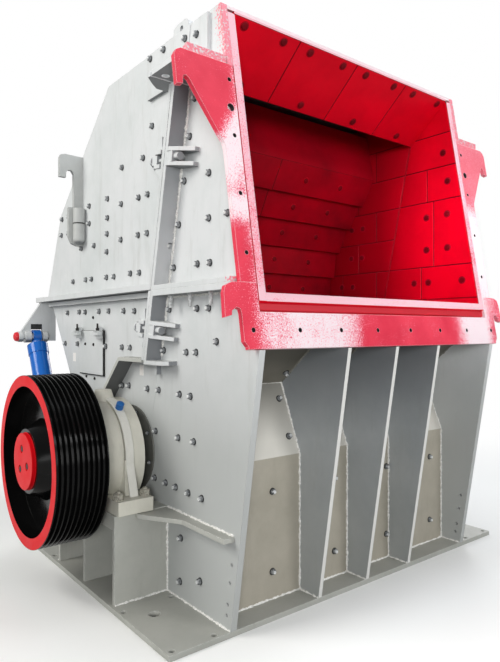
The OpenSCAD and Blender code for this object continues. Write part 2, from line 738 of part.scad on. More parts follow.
apron_half_w = inner_x - 12;
apron_shaft_r = 55;
apron_shaft_places = [[-120, 3080], [980, 2700]];
apron_head_r = 120;
apron_rows = [[-323, 2951], [-165, 2766], [-20, 2583], [112, 2382], [180, 2147], [251, 1918],
    [322, 1689]];
apron_thick = 150;
row_step = 42;
apron_back_z = 3330;

module apron_shafts() {
    color("gray") for (s = apron_shaft_places)
        x_bar(-liner_x, liner_x, s[0], s[1], apron_shaft_r);
}

// Point p of the apron's face, set out by s square to the row from p0 to p1.
function set_out(p0, p1, p, s) = p + s*[p1[1] - p0[1], p0[0] - p1[0]]/norm(p1 - p0);

// First impact apron with a stepped face of bolted wear bars under a plain upper plate.
module first_apron() {
    rows = len(apron_rows) - 1;
    head = apron_shaft_places[0];
    color(RED) difference() {
        union() {
            yz_plate(-apron_half_w, 2*apron_half_w, concat(
                [for (i = [0:rows - 1], e = [0, 1]) set_out(apron_rows[i], apron_rows[i + 1],
                    apron_rows[i + e], e*row_step)],
                [for (i = [rows:-1:1])
                    set_out(apron_rows[i - 1], apron_rows[i], apron_rows[i], -apron_thick)]));
            yz_plate(-apron_half_w, 2*apron_half_w, [apron_rows[0], apron_rows[1],
                set_out(apron_rows[0], apron_rows[1], apron_rows[1], -apron_thick),
                head + [apron_head_r - 6, 0], head + [0, apron_head_r - 6], [-205, apron_back_z],
                [-255, apron_back_z]]);
            x_bar(-apron_half_w, apron_half_w, head[0], head[1], apron_head_r);
        }
        x_bar(-apron_half_w - 1, apron_half_w + 1, head[0], head[1], apron_shaft_r + SEAT);
    }
}

// Second impact apron behind the first.
module second_apron() {
    s = apron_shaft_places[1];
    color(RED) difference() {
        union() {
            yz_plate(-apron_half_w, 2*apron_half_w, [s + [-apron_head_r + 6, 0],
                [875, 1750], [775, 1215], [905, 1150], [1050, 1720], s + [apron_head_r - 6, 0]]);
            x_bar(-apron_half_w, apron_half_w, s[0], s[1], apron_head_r);
        }
        x_bar(-apron_half_w - 1, apron_half_w + 1, s[0], s[1], apron_shaft_r + SEAT);
    }
}

// ---- rotor and drive ------------------------------------------------------

bar_t = 110;
bar_in_r = 500;
disc_r = rotor_r - 70;
disc_t = 90;
hub_r = 260;
core_r = shaft_r + 60;
pulley_seat_r = 90;
shaft_end_x = 1475;
hub_bore_x = 12;                  // start of the hub's bore, from the pulley's outer face

module rotor_shaft() {
    color("gray") {
        x_bar(-pulley_x - pulley_w + hub_bore_x + 1, -housing_out_x - 40, 0, rotor_z,
            pulley_seat_r);
        x_bar(-housing_out_x - 41, shaft_end_x + 34, 0, rotor_z, shaft_r);
        x_bar(-rotor_w/2, rotor_w/2, 0, rotor_z, core_r);
    }
}

// Blow bar k about the rotor axis, widened by s.
module bar_place(s) {
    for (k = [0:bar_count - 1]) translate([0, 0, rotor_z]) rotate([360*k/bar_count + 28, 0, 0])
        block([-rotor_w/2 - 2*s, -bar_t/2 - s, bar_in_r - s],
            [rotor_w/2 + 2*s, bar_t/2 + s, s > 0 ? rotor_r + 20 : rotor_r]);
}

// Tube on the shaft and the discs seated on it.
module rotor_discs() {
    pitch = (rotor_w - disc_t)/(disc_count - 1);
    color("dimgray") {
        difference() {
            x_bar(-rotor_w/2, rotor_w/2, 0, rotor_z, hub_r);
            x_bar(-rotor_w/2 - 1, rotor_w/2 + 1, 0, rotor_z, core_r + SEAT);
        }
        for (i = [0:disc_count - 1]) difference() {
            x_bar(-rotor_w/2 + i*pitch, -rotor_w/2 + i*pitch + disc_t, 0, rotor_z, disc_r);
            x_bar(-rotor_w/2 - 1, rotor_w/2 + 1, 0, rotor_z, hub_r + SEAT);
            bar_place(SEAT);
        }
    }
}

module blow_bars() {
    color("gray") bar_place(0);
}

groove_pitch = pulley_w/(groove_count + 0.2);
groove_depth = 24;
rim_in_r = pulley_r - 67;
web_x = [110, 160];               // web, measured from the outer face
boss_x = 8;                       // front of the conical boss
boss_r = [195, 252];
cover_r = 172;
cover_x = -16;                    // the hub's cover stands proud of the outer face
pulley_bore_r = 175;

// Grooved pulley, turned about its own axis.
module pulley() {
    rim = concat([[rim_in_r, 0], [pulley_r, 0]],
        [for (i = [0:groove_count - 1], p = [[0, 0.08], [1, 0.34], [1, 0.62], [0, 0.88]])
            [pulley_r - p[0]*groove_depth, groove_pitch*(0.1 + i + p[1])]],
        [[pulley_r, pulley_w], [rim_in_r, pulley_w]]);
    color([0.08, 0.08, 0.09]) translate([-pulley_x - pulley_w, 0, rotor_z]) rotate([0, 90, 0]) {
        rotate_extrude() polygon(rim);
        difference() {
            union() {
                translate([0, 0, web_x[0]]) cylinder(h = web_x[1] - web_x[0], r = rim_in_r + 1);
                translate([0, 0, boss_x])
                    cylinder(h = web_x[0] + 1 - boss_x, r1 = boss_r[0], r2 = boss_r[1]);
            }
            translate([0, 0, boss_x - 1]) cylinder(h = web_x[1], r = pulley_bore_r);
        }
    }
}

// Taper hub in the pulley's bore, closed by a flat cover.
module pulley_hub() {
    face_x = -pulley_x - pulley_w;
    color(RED) difference() {
        union() {
            x_bar(face_x + cover_x, face_x + boss_x, 0, rotor_z, cover_r);
            x_bar(face_x + boss_x - 1, -pulley_x - 40, 0, rotor_z, pulley_bore_r - SEAT);
        }
        x_bar(face_x + hub_bore_x, -pulley_x, 0, rotor_z, pulley_seat_r + SEAT);
    }
}

// ---- opening cylinders ----------------------------------------------------

stroke_line = [ear_y - foot_y, ear_z - foot_z];
cylinder_l = norm(stroke_line);
cylinder_tilt = atan2(stroke_line[0], stroke_line[1]);
barrel_start = 75;
barrel_end = cylinder_l - 84;
barrel_bore_start = 760;
eye_r = 60;
eye_play = 15;

// Upright in its own frame, leaning back from the lower pivot.
module at_foot() {
    translate([-cylinder_x, foot_y, foot_z]) rotate([-cylinder_tilt, 0, 0]) children();
}

module cylinder_barrel() {
    color("royalblue") at_foot() difference() {
        union() {
            x_bar(-eye_w/2, eye_w/2, 0, 0, eye_r);
            translate([0, 0, 30]) cylinder(h = barrel_start - 29, r = eye_w/2 - 4);
            translate([0, 0, barrel_start])
                cylinder(h = barrel_end - barrel_start - 70, r = barrel_r - 6);
            translate([0, 0, barrel_end - 90]) cylinder(h = 90, r = barrel_r);
            translate([0, 0, barrel_start]) cylinder(h = 60, r = barrel_r);
        }
        x_bar(-eye_w, eye_w, 0, 0, pin_r + SEAT);
        translate([0, 0, barrel_bore_start]) cylinder(h = cylinder_l, r = rod_r + SEAT);
    }
}

module cylinder_rod() {
    color("royalblue") at_foot() difference() {
        union() {
            translate([0, 0, barrel_bore_start + 60])
                cylinder(h = cylinder_l - barrel_bore_start - 90, r = rod_r);
            translate([0, 0, cylinder_l]) x_bar(-eye_w/2, eye_w/2, 0, 0, eye_r);
        }
        translate([0, 0, cylinder_l]) x_bar(-eye_w, eye_w, 0, 0, pin_r + eye_play);
    }
}

// ---- nodes ----------------------------------------------------------------

base_plate();
side(false) lower_front_side();  // lower_front_side_left
side(true) lower_front_side();  // lower_front_side_right
side(false) lower_rear_side();  // lower_rear_side_left
side(true) lower_rear_side();  // lower_rear_side_right
lower_front_wall();
lower_rear_wall();
front_ribs();
chute_liner();
feed_flange_lower();
lower_side_liners();
side(false) bearing_pedestal();  // bearing_pedestal_left
side(true) bearing_pedestal();  // bearing_pedestal_right
side(false) bearing_housing();  // bearing_housing_left
side(true) bearing_housing();  // bearing_housing_right
side(false) side_stiffeners();  // side_stiffeners_left
side(true) side_stiffeners();  // side_stiffeners_right
inspection_doors();
cylinder_brackets();
hinge_brackets();
side(false) front_box_side();  // front_box_side_left
side(true) front_box_side();  // front_box_side_right
front_box_roof();
feed_flange_upper();
feed_side_liners();
feed_ceiling_liner();
lower_clamps();
upper_clamps_front();
side(false) rear_frame_side();  // rear_frame_side_left
side(true) rear_frame_side();  // rear_frame_side_right
rear_frame_shell();
rear_side_liners();
rear_hook_plates();
cylinder_ears();
hinge_knuckles();
upper_clamps_rear();
apron_shafts();
first_apron();
second_apron();
rotor_shaft();
rotor_discs();
blow_bars();
pulley();
pulley_hub();
side(false) cylinder_barrel();  // cylinder_barrel_left
side(true) cylinder_barrel();  // cylinder_barrel_right
side(false) cylinder_rod();  // cylinder_rod_left
side(true) cylinder_rod();  // cylinder_rod_right
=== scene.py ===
"""Impact crusher, dressed in the order a fitter puts it together. Metres, +Z up."""
import math

import bmesh
import bpy
from mathutils import Matrix, Vector


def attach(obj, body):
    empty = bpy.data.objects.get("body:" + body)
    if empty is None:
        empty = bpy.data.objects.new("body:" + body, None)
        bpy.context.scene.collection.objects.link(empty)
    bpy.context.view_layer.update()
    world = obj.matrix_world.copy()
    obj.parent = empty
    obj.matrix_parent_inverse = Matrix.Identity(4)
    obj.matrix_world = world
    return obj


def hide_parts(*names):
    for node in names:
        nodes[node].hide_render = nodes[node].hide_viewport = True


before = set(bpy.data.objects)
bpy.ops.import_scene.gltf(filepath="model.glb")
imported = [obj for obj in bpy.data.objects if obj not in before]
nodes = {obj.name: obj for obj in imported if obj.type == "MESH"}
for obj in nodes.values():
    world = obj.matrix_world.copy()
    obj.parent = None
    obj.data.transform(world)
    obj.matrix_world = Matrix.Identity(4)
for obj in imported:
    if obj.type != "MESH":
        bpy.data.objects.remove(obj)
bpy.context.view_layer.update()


# Camera -----------------------------------------------------------------------
# A level view of the pulley's front corner from eye height, with no shift, and a
# standard view transform, so that the coats keep their colours.
def stand(title, data):
    """Puts a mesh, lamp or camera into the scene."""
    thing = bpy.data.objects.new(title, data)
    bpy.context.scene.collection.objects.link(thing)
    return thing


camera = stand("camera", bpy.data.cameras.new("camera"))
camera.location = (-2.991, -3.669, 1.650)
camera.rotation_euler = (math.radians(90), 0, math.radians(-38.27))
camera.data.sensor_width = 36
camera.data.lens = 32.08
bpy.context.scene.camera = camera
bpy.context.scene.view_settings.view_transform = "Standard"


# Floor, surround and lamps ------------------------------------------------------
# A pale workshop floor that fades into a white surround. Soft lamps: daylight from the
# rear left, three in front, a weak one through the feed opening, a fill, a skylight.
def linear(shade):
    """An sRGB hex colour as Blender's linear one."""
    parts = [int(shade[i:i + 2], 16) / 255 for i in (1, 3, 5)]
    return [v / 12.92 if v <= 0.04045 else ((v + 0.055) / 1.055) ** 2.4 for v in parts] + [1]


def feed(node, feeds):
    """Gives a node's inputs numbers, sRGB hex colours, links, or a node's live output."""
    for key, value in feeds.items():
        if isinstance(value, str) and value.startswith("#"):
            value = linear(value)
        if isinstance(value, bpy.types.Node):
            value = next(socket for socket in value.outputs if socket.enabled)
        if isinstance(value, bpy.types.NodeSocket):
            node.id_data.links.new(value, node.inputs[key])
        else:
            node.inputs[key].default_value = value
    return node


def add(tree, kind, feeds=None, **settings):
    """Adds a node with its settings and feeds."""
    node = tree.nodes.new(kind)
    for name, value in settings.items():
        setattr(node, name, value)
    return feed(node, feeds or {})


FADE_START, FADE_END, FLOOR_HALF = 3.2, 6.5, 40
BASE_HALF = (1.485, 1.112)
floor_mesh = bpy.data.meshes.new("floor")
floor_mesh.from_pydata([(FLOOR_HALF * x, FLOOR_HALF * y, 0)
                        for x, y in ((-1, -1), (1, -1), (1, 1), (-1, 1))], [], [(0, 1, 2, 3)])
floor = stand("floor", floor_mesh)
floor_paint = bpy.data.materials.new("pale sealed concrete")
floor_paint.use_nodes = True
tree = floor_paint.node_tree
tree.nodes.clear()
spot = add(tree, "ShaderNodeTexCoord").outputs["Object"]
reach = add(tree, "ShaderNodeVectorMath", {0: spot}, operation="LENGTH")
fade = add(tree, "ShaderNodeMapRange", {"Value": reach, 1: FADE_START, 2: FADE_END})
ray = add(tree, "ShaderNodeLightPath").outputs
seen = add(tree, "ShaderNodeMath", {0: ray["Is Camera Ray"], 1: ray["Is Glossy Ray"]},
           operation="MAXIMUM")
white = add(tree, "ShaderNodeMath", {0: fade, 1: seen}, operation="MULTIPLY")
# painted shade: the ground seen through the base plate's holes is coloured near black
flat = add(tree, "ShaderNodeVectorMath", {0: spot}, operation="ABSOLUTE")
flat = add(tree, "ShaderNodeSeparateXYZ", {0: flat}).outputs
under = [add(tree, "ShaderNodeMath", {0: flat[axis], 1: half}, operation="LESS_THAN")
         for axis, half in zip("XY", BASE_HALF)]
under = add(tree, "ShaderNodeMath", dict(enumerate(under)), operation="MULTIPLY")
ground = add(tree, "ShaderNodeMix", {0: under, 6: "#f3f3f1", 7: "#161616"}, data_type="RGBA")
# less of its light is thrown back up, so that undersides stay in shade
bounced = add(tree, "ShaderNodeMix", {0: ray["Is Diffuse Ray"], 6: ground, 7: "#8b8b88"},
              data_type="RGBA")
matt = add(tree, "ShaderNodeBsdfDiffuse", {"Color": bounced})
glow = add(tree, "ShaderNodeEmission", {"Color": (1, 1, 1, 1), "Strength": 1.0})
both = add(tree, "ShaderNodeMixShader", {0: white, 1: matt, 2: glow})
add(tree, "ShaderNodeOutputMaterial", {"Surface": both})
floor_mesh.materials.append(floor_paint)

world = bpy.data.worlds.new("white surround")
bpy.context.scene.world = world
world.use_nodes = True
tree = world.node_tree
tree.nodes.clear()
ray = add(tree, "ShaderNodeLightPath").outputs
seen = add(tree, "ShaderNodeMath", {0: ray["Is Camera Ray"], 1: ray["Is Transmission Ray"]},
           operation="MAXIMUM")
shown, mirrored, hall = [
    add(tree, "ShaderNodeBackground", {"Color": shade, "Strength": strength})
    for shade, strength in (((1, 1, 1, 1), 1.0), ("#f4f6f8", 0.40), ("#eef1f5", 0.34))]
inner = add(tree, "ShaderNodeMixShader", {0: ray["Is Glossy Ray"], 1: hall, 2: mirrored})
outer = add(tree, "ShaderNodeMixShader", {0: seen, 1: inner, 2: shown})
add(tree, "ShaderNodeOutputWorld", {"Surface": outer})

for title, place, aim, size, power, spread, shade in (
        ("rear_left_daylight", (-7.5, 1.6, 6.0), (-1.0, 0.0, 1.6), 4.5, 450, 180, "#fffdf8"),
        ("front_lamp", (2.2, -9.0, 2.6), (0.0, -1.0, 1.9), 3.0, 130, 180, "#ffffff"),
        ("high_front_lamp", (1.6, -7.6, 5.8), (0.0, -1.0, 1.9), 1.6, 80, 180, "#ffffff"),
        ("left_front_lamp", (-5.6, -7.0, 2.4), (0.0, -1.0, 2.2), 2.0, 260, 180, "#ffffff"),
        ("opening_lamp", (-4.0, -4.4, 2.9), (1.05, -1.05, 2.45), 0.6, 4, 20, "#ffffff"),
        ("right_rear_fill", (7.2, 4.6, 4.2), (0.4, 0.4, 1.6), 4.0, 300, 180, "#ffffff"),
        ("skylight", (0.9, -1.6, 8.4), (0.0, -0.2, 1.5), 3.6, 320, 180, "#f6f9ff")):
    lamp = bpy.data.lights.new(title, "AREA")
    lamp.size = size
    lamp.spread = math.radians(spread)
    lamp.energy = power
    lamp.color = linear(shade)[:3]
    holder = stand(title, lamp)
    holder.location = place
    holder.rotation_euler = (Vector(aim) - Vector(place)).to_track_quat("-Z", "Y").to_euler()


# Base plate and welded plate work -----------------------------------------------
# Flame-cut steel plate, welded and sprayed with one satin coat of light grey machine
# paint: faint clouds from the spray gun, dusty runs, and paler rubbed edges.
FEED_LEAN = math.radians(9.9)
FEED_OUT = (0, -math.cos(FEED_LEAN), math.sin(FEED_LEAN))
FEED_LIP = (0, -1.308, 1.828)
WALL_OUT, WALL_IN = 1.109, 1.069
LIP_TOP = 3.092


def behind_feed_plane(tree, place):
    """How far a point lies behind the feed flange's front face, in metres."""
    here = add(tree, "ShaderNodeVectorMath", {0: place, 1: FEED_LIP}, operation="SUBTRACT")
    return add(tree, "ShaderNodeVectorMath", {0: here, 1: [-v for v in FEED_OUT]},
               operation="DOT_PRODUCT")


def primed(title):
    """A new material, its node tree, and the place of each point on the piece."""
    material = bpy.data.materials.new(title)
    material.use_nodes = True
    tree = material.node_tree
    return material, tree, add(tree, "ShaderNodeTexCoord").outputs["Object"]


def layer(tree, below, shade, value, start, full, share=1.0):
    """Covers a colour with a share of another as a value runs from start to full."""
    mask = add(tree, "ShaderNodeMapRange", {"Value": value, 1: start, 2: full, 4: share})
    return add(tree, "ShaderNodeMix", {0: mask, 6: below, 7: shade}, data_type="RGBA")


def rounded(tree, width, share=1.0):
    """Normals rounded over the edges, and a mask of those edges."""
    soft = add(tree, "ShaderNodeBevel", {"Radius": width}, samples=4)
    normal = add(tree, "ShaderNodeNewGeometry").outputs["Normal"]
    turn = add(tree, "ShaderNodeVectorMath", {0: soft, 1: normal}, operation="DOT_PRODUCT")
    return soft, add(tree, "ShaderNodeMapRange", {"Value": turn, 1: 0.995, 2: 0.86, 4: share})


def finished(material, colour, marks, rough, skin, plain=None):
    """Feeds the shader; the marks run the roughness between two numbers."""
    tree = material.node_tree
    gloss = add(tree, "ShaderNodeMapRange", {"Value": marks, 1: 0.3, 2: 0.7, 3: rough[0],
                                             4: rough[1]})
    feed(tree.nodes["Principled BSDF"], {"Base Color": colour, "Roughness": gloss,
                                         "Normal": skin, **(plain or {})})
    return material


def sprayed_plate(title, coat, cloud, dirt, edge, low=0.4, painted_shade_top=None, pale_front=None,
                  overspray=None, lip=None, under=None, flange_front_shade=None, painted_light_leaning=None,
                  footing=None):
    """A sprayed coat on welded plate; colours are sRGB hex. Extras: painted_shade_top,
    painted shade from 0.9 m up; pale_front, the colour of faces that look forwards;
    overspray, a red fringe; lip, a colour right behind the feed flange; under, painted
    shade on faces that look down; flange_front_shade, painted shade on the front of the
    inclined flanges; painted_light_leaning, painted light on faces that lean back; footing,
    a darker colour low on the walls."""
    material, tree, place = primed(title)
    # clouds of the spray gun, about half a metre across
    clouds = add(tree, "ShaderNodeTexNoise", {"Vector": place, "Scale": 2.1, "Detail": 5.0,
                                              "Roughness": 0.62})
    coated = layer(tree, coat, cloud, clouds, 0.40, 0.66)
    # runs and dusty patches, stretched downwards
    drawn = add(tree, "ShaderNodeMapping", {"Vector": place, "Scale": (7.0, 7.0, 1.1)})
    runs = add(tree, "ShaderNodeTexNoise", {"Vector": drawn, "Scale": 1.6, "Detail": 7.0,
                                            "Roughness": 0.7})
    coated = layer(tree, coated, dirt, runs, 0.54, 0.78, 0.35)
    # dust lying on faces that look up
    normal = add(tree, "ShaderNodeNewGeometry").outputs["Normal"]
    facing = add(tree, "ShaderNodeSeparateXYZ", {0: normal}).outputs
    coated = layer(tree, coated, dirt, facing["Z"], 0.55, 1.0, 0.35)
    # rubbed edges, about 5 mm wide, broken up by grit
    soft, rim = rounded(tree, 0.006)
    grit = add(tree, "ShaderNodeTexNoise", {"Vector": place, "Scale": 34.0, "Detail": 4.0})
    broken = add(tree, "ShaderNodeMapRange", {"Value": grit, 1: 0.35, 2: 0.6})
    rub = add(tree, "ShaderNodeMath", {0: rim, 1: broken}, operation="MULTIPLY")
    coated = add(tree, "ShaderNodeMix", {0: rub, 6: coated, 7: edge}, data_type="RGBA")
    # what depends on height, such as the ground's dust, a darker colour low down and painted
    # shade higher up, or on which way a face looks, such as painted light on faces that lean
    # back and painted shade on faces that look down
    spot = add(tree, "ShaderNodeSeparateXYZ", {0: place}).outputs
    for shade, value, start, full, share in (
            (dirt, spot["Z"], 1.25, 0.03, low), (footing, spot["Z"], 1.75, 0.95, 0.8),
            (painted_light_leaning, facing["Z"], 0.25, 0.32, 0.85), (painted_shade_top, spot["Z"], 0.98, 1.48, 0.9),
            (pale_front, facing["Y"], -0.85, -0.96, 1.0),
            (under, facing["Z"], -0.30, -0.62, 0.9)):
        if shade:
            coated = layer(tree, coated, shade, value, start, full, share)
    if flange_front_shade:
        # painted shade: only the inclined flanges look forwards out there, and their shade deepens
        # upwards
        ahead, rise, lower = [
            add(tree, "ShaderNodeMapRange", {"Value": value, 1: start, 2: full, 3: least, 4: most})
            for value, start, full, least, most in (
                (facing["Y"], -0.90, -0.96, 0.0, 1.0), (spot["Z"], 1.90, 2.95, 0.25, 1.0),
                (spot["Z"], 1.90, 1.86, 0.0, 0.9))]
        span = add(tree, "ShaderNodeVectorMath", {0: place}, operation="ABSOLUTE")
        span = add(tree, "ShaderNodeSeparateXYZ", {0: span}).outputs["X"]
        depth, beyond, rearward, below_lip, unworn = [
            add(tree, "ShaderNodeMath", {0: first, 1: second}, operation=how)
            for first, how, second in (
                (rise, "MAXIMUM", lower), (span, "GREATER_THAN", WALL_OUT + 0.003),
                (spot["Y"], "LESS_THAN", 0.2), (spot["Z"], "LESS_THAN", LIP_TOP),
                (1.0, "SUBTRACT", rub))]
        there = add(tree, "ShaderNodeMath", {0: beyond, 1: rearward}, operation="MULTIPLY")
        there = add(tree, "ShaderNodeMath", {0: ahead, 1: there}, operation="MULTIPLY")
        there = add(tree, "ShaderNodeMath", {0: there, 1: below_lip}, operation="MULTIPLY")
        there = add(tree, "ShaderNodeMath", {0: depth, 1: there}, operation="MULTIPLY")
        there = add(tree, "ShaderNodeMath", {0: there, 1: unworn}, operation="MULTIPLY")
        coated = add(tree, "ShaderNodeMix", {0: there, 6: coated, 7: flange_front_shade},
                     data_type="RGBA")
    if lip:
        coated = layer(tree, coated, lip, behind_feed_plane(tree, place), 0.045, 0.035)
    if overspray:
        speckle = add(tree, "ShaderNodeTexNoise", {"Vector": place, "Scale": 85.0,
                                                   "Detail": 3.0})
        depth = add(tree, "ShaderNodeMapRange", {"Value": behind_feed_plane(tree, place),
                                                 1: 0.0, 2: 0.11, 3: 0.16, 4: -0.22})
        reach = add(tree, "ShaderNodeMath", {0: speckle, 1: depth})
        coated = layer(tree, coated, overspray, reach, 0.50, 0.62, 0.85)
    # orange peel, drawn 6 mm coarse so that it shows, over the plate's slow waves
    peel = add(tree, "ShaderNodeTexNoise", {"Vector": place, "Scale": 160.0, "Detail": 2.0})
    wave = add(tree, "ShaderNodeTexNoise", {"Vector": place, "Scale": 3.2, "Detail": 1.0})
    waves = add(tree, "ShaderNodeBump", {"Height": wave, "Distance": 0.02, "Strength": 0.25,
                                         "Normal": soft})
    skin = add(tree, "ShaderNodeBump", {"Height": peel, "Distance": 0.0012, "Strength": 0.35,
                                        "Normal": waves})
    return finished(material, coated, clouds, (0.39, 0.56), skin)


def coat(material, *names):
    """Gives CAD nodes their finish; a name without its side stands for both sides."""
    for name in names:
        for title in (name, name + "_left", name + "_right"):
            if title in nodes:
                piece = nodes[title]
                if not piece.material_slots:
                    piece.data.materials.append(material)
                for slot in piece.material_slots:
                    slot.material = material


MACHINE_GREY = ("#dbddde", "#cfd3d3", "#a8a8a1", "#f6f7f6")
# painted shade: darker greys for faces that look down and for the inclined flanges' fronts
UNDERSIDE_SHADE, FLANGE_FRONT_SHADE = "#66696c", "#7a7d81"
coat(sprayed_plate("light grey wall paint, darker low down", *MACHINE_GREY, under=UNDERSIDE_SHADE,
                   flange_front_shade=FLANGE_FRONT_SHADE, footing="#b0b3b1"),
     "lower_front_side", "lower_rear_side", "lower_rear_wall", "inspection_doors")
coat(sprayed_plate("light grey machine paint", *MACHINE_GREY, under=UNDERSIDE_SHADE,
                   flange_front_shade=FLANGE_FRONT_SHADE),
     "cylinder_brackets", "hinge_brackets", "lower_clamps", "upper_clamps_front",
     "rear_frame_side", "rear_frame_shell", "cylinder_ears", "hinge_knuckles",
     "upper_clamps_rear")
coat(sprayed_plate("thin grey paint on lifting hooks", "#b9bbb9", "#abadac", "#94948d",
                   "#e4e5e3", under=UNDERSIDE_SHADE), "rear_hook_plates")
coat(sprayed_plate("light grey paint with red overspray", *MACHINE_GREY, under=UNDERSIDE_SHADE,
                   overspray="#f06a80", flange_front_shade=FLANGE_FRONT_SHADE), "front_box_side")
coat(sprayed_plate("light grey roof paint", "#d6d9d9", "#c9cdce", "#a3a39c", "#f4f5f4",
                   pale_front="#f6e4e8"), "front_box_roof")
# faces of the footings that look down get a darker painted shade
coat(sprayed_plate("dusty grey paint on footings", "#bdbeb7", "#acaea7", "#92918a",
                   "#edede8", low=0.25, under="#4c4e50"),
     "base_plate", "side_stiffeners", "bearing_pedestal")


# Front wall and ribs ------------------------------------------------------------
# The bays under the feed chute: warmer paint on the wall between the ribs, and cool grey
# ribs with paler front faces; wall and ribs both darken upwards as painted shade.
# painted shade: from about 1 m up the wall and the ribs darken, where the chute overhangs them;
# the sloped panel that leans back is painted lighter, as painted light
coat(sprayed_plate("thin warm grey paint", "#bcb6a8", "#a9a496", "#8f8a7e", "#dcdad2",
                   painted_light_leaning="#e2e0d8", painted_shade_top="#4e4c44", lip="#c8182c"), "lower_front_wall")
coat(sprayed_plate("cool grey rib paint", "#b0b4b6", "#a3a8ab", "#96978f", "#f4f4f2",
                   painted_shade_top="#74787b", pale_front="#e9e9e5"), "front_ribs")


# Weld beads ---------------------------------------------------------------------
# Fillet welds along the plates' corners, laid by hand in short ripples about 12 mm
# long and thinly painted over, so that they stand out rough and pale.
def bare_tree(title, sizes, counts, finishes):
    """A Geometry Nodes tree with named inputs, and what they give inside it."""
    tree = bpy.data.node_groups.new(title, "GeometryNodeTree")
    sockets = [("Points", "Geometry", None)]
    sockets += [(name, "Float", value) for name, value in sizes.items()]
    sockets += [(name, "Int", value) for name, value in counts.items()]
    sockets += [(name, "Material", None) for name in finishes]
    for name, kind, value in sockets:
        socket = tree.interface.new_socket(name, in_out="INPUT", socket_type="NodeSocket" + kind)
        if value is not None:
            socket.default_value = value
    tree.interface.new_socket("Made", in_out="OUTPUT", socket_type="NodeSocketGeometry")
    return tree, add(tree, "NodeGroupInput").outputs


def realised(tree, shape, finish):
    """A shape made real and given its finish."""
    real = add(tree, "GeometryNodeRealizeInstances", {0: shape})
    return add(tree, "GeometryNodeSetMaterial", {0: real, "Material": finish})


def bead_tree():
    """Geometry Nodes: a rippled bead along each line of a wire mesh."""
    tree, given = bare_tree("weld beads", {"Bead radius": 0.0085, "Wobble": 0.0030,
                                           "Ripple": 0.012}, {"Seed": 1}, ["Finish"])
    line = add(tree, "GeometryNodeMeshToCurve", {"Mesh": given["Points"]})
    line = add(tree, "GeometryNodeResampleCurve", {"Curve": line, "Length": given["Ripple"]},
               mode="LENGTH")
    off = add(tree, "FunctionNodeRandomValue", {0: (-1, -1, -1), 1: (1, 1, 1),
                                                8: given["Seed"]}, data_type="FLOAT_VECTOR")
    shift = add(tree, "ShaderNodeVectorMath", {0: off, 3: given["Wobble"]}, operation="SCALE")
    line = add(tree, "GeometryNodeSetPosition", {"Geometry": line, "Offset": shift})
    round_bar = add(tree, "GeometryNodeCurvePrimitiveCircle",
                    {"Resolution": 6, "Radius": given["Bead radius"]})
    swell = add(tree, "FunctionNodeRandomValue", {2: 0.6, 3: 1.3, 8: given["Seed"]},
                data_type="FLOAT")
    bead = add(tree, "GeometryNodeCurveToMesh", {"Curve": line, "Profile Curve": round_bar,
                                                 "Scale": swell, "Fill Caps": True})
    add(tree, "NodeGroupOutput", {0: realised(tree, bead, given["Finish"])})
    return tree


def fit(title, body, mesh):
    """A mesh as a piece that rides on a body and takes its finish from a slot."""
    piece = stand(title, mesh)
    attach(piece, body)
    return piece


def grow(title, body, mesh, tree, inputs):
    """Runs a tree on a mesh and fits the plain result."""
    seedling = stand(title + "_points", mesh)
    growth = seedling.modifiers.new("grow", "NODES")
    growth.node_group = tree
    for item in tree.interface.items_tree:
        name = item.name.lower().replace(" ", "_")
        if item.in_out == "INPUT" and name in inputs:
            growth[item.identifier] = inputs[name]
    seen_by = bpy.context.evaluated_depsgraph_get()
    result = bpy.data.meshes.new_from_object(seedling.evaluated_get(seen_by))
    bpy.data.objects.remove(seedling)
    result.name = title
    fit(title, body, result)


def bare_steel(title, shade, dark, roughness, metal=0.85, grain=90.0):
    """Plain or plated steel with handling marks; a fairly rough metal."""
    material, tree, place = primed(title)
    marks = add(tree, "ShaderNodeTexNoise", {"Vector": place, "Scale": grain, "Detail": 4.0})
    skin = add(tree, "ShaderNodeBump", {"Height": marks, "Distance": 0.0006, "Strength": 0.4})
    return finished(material, layer(tree, shade, dark, marks, 0.38, 0.66), marks,
                    (roughness - 0.08, roughness + 0.12), skin, {"Metallic": metal})


beads_grow = bead_tree()
bead_paint = bare_steel("thinly painted weld bead", "#fbfaf6", "#cfcec8", 0.6, 0.0, 140.0)
# the beads below the chute take a darker copy of the bead paint: painted shade
shaded_bead_paint = bare_steel("weld bead coated with the chute", "#86857d", "#67665f", 0.6,
                              0.0, 140.0)


def weld(title, body, lines, **inputs):
    """Beads along lines of points, in metres."""
    mesh = bpy.data.meshes.new(title)
    links, start = [], 0
    for line in lines:
        links += [(start + i, start + i + 1) for i in range(len(line) - 1)]
        start += len(line)
    mesh.from_pydata([point for line in lines for point in line], links, [])
    grow(title, body, mesh, beads_grow, {"finish": bead_paint, **inputs})


JOINT_ANGLE, JOINT_FOOT = math.radians(12.06), (-0.481, 1.975)
JOINT_LEAN = math.tan(JOINT_ANGLE)
FLANGE_THICK = 0.030 / math.cos(JOINT_ANGLE)


def joint_y(z):
    """Front face of the inclined joint's front flange."""
    return JOINT_FOOT[0] - JOINT_LEAN * (z - JOINT_FOOT[1])


def seam_y(z):
    """Rear face of that flange, where the opening housing meets it."""
    return joint_y(z) + FLANGE_THICK


def feed_y(z, behind=0.0305):
    """How far back the feed flange's rear face lies at a height, or a plane before it."""
    return FEED_LIP[1] + math.tan(FEED_LEAN) * (z - FEED_LIP[2]) + behind


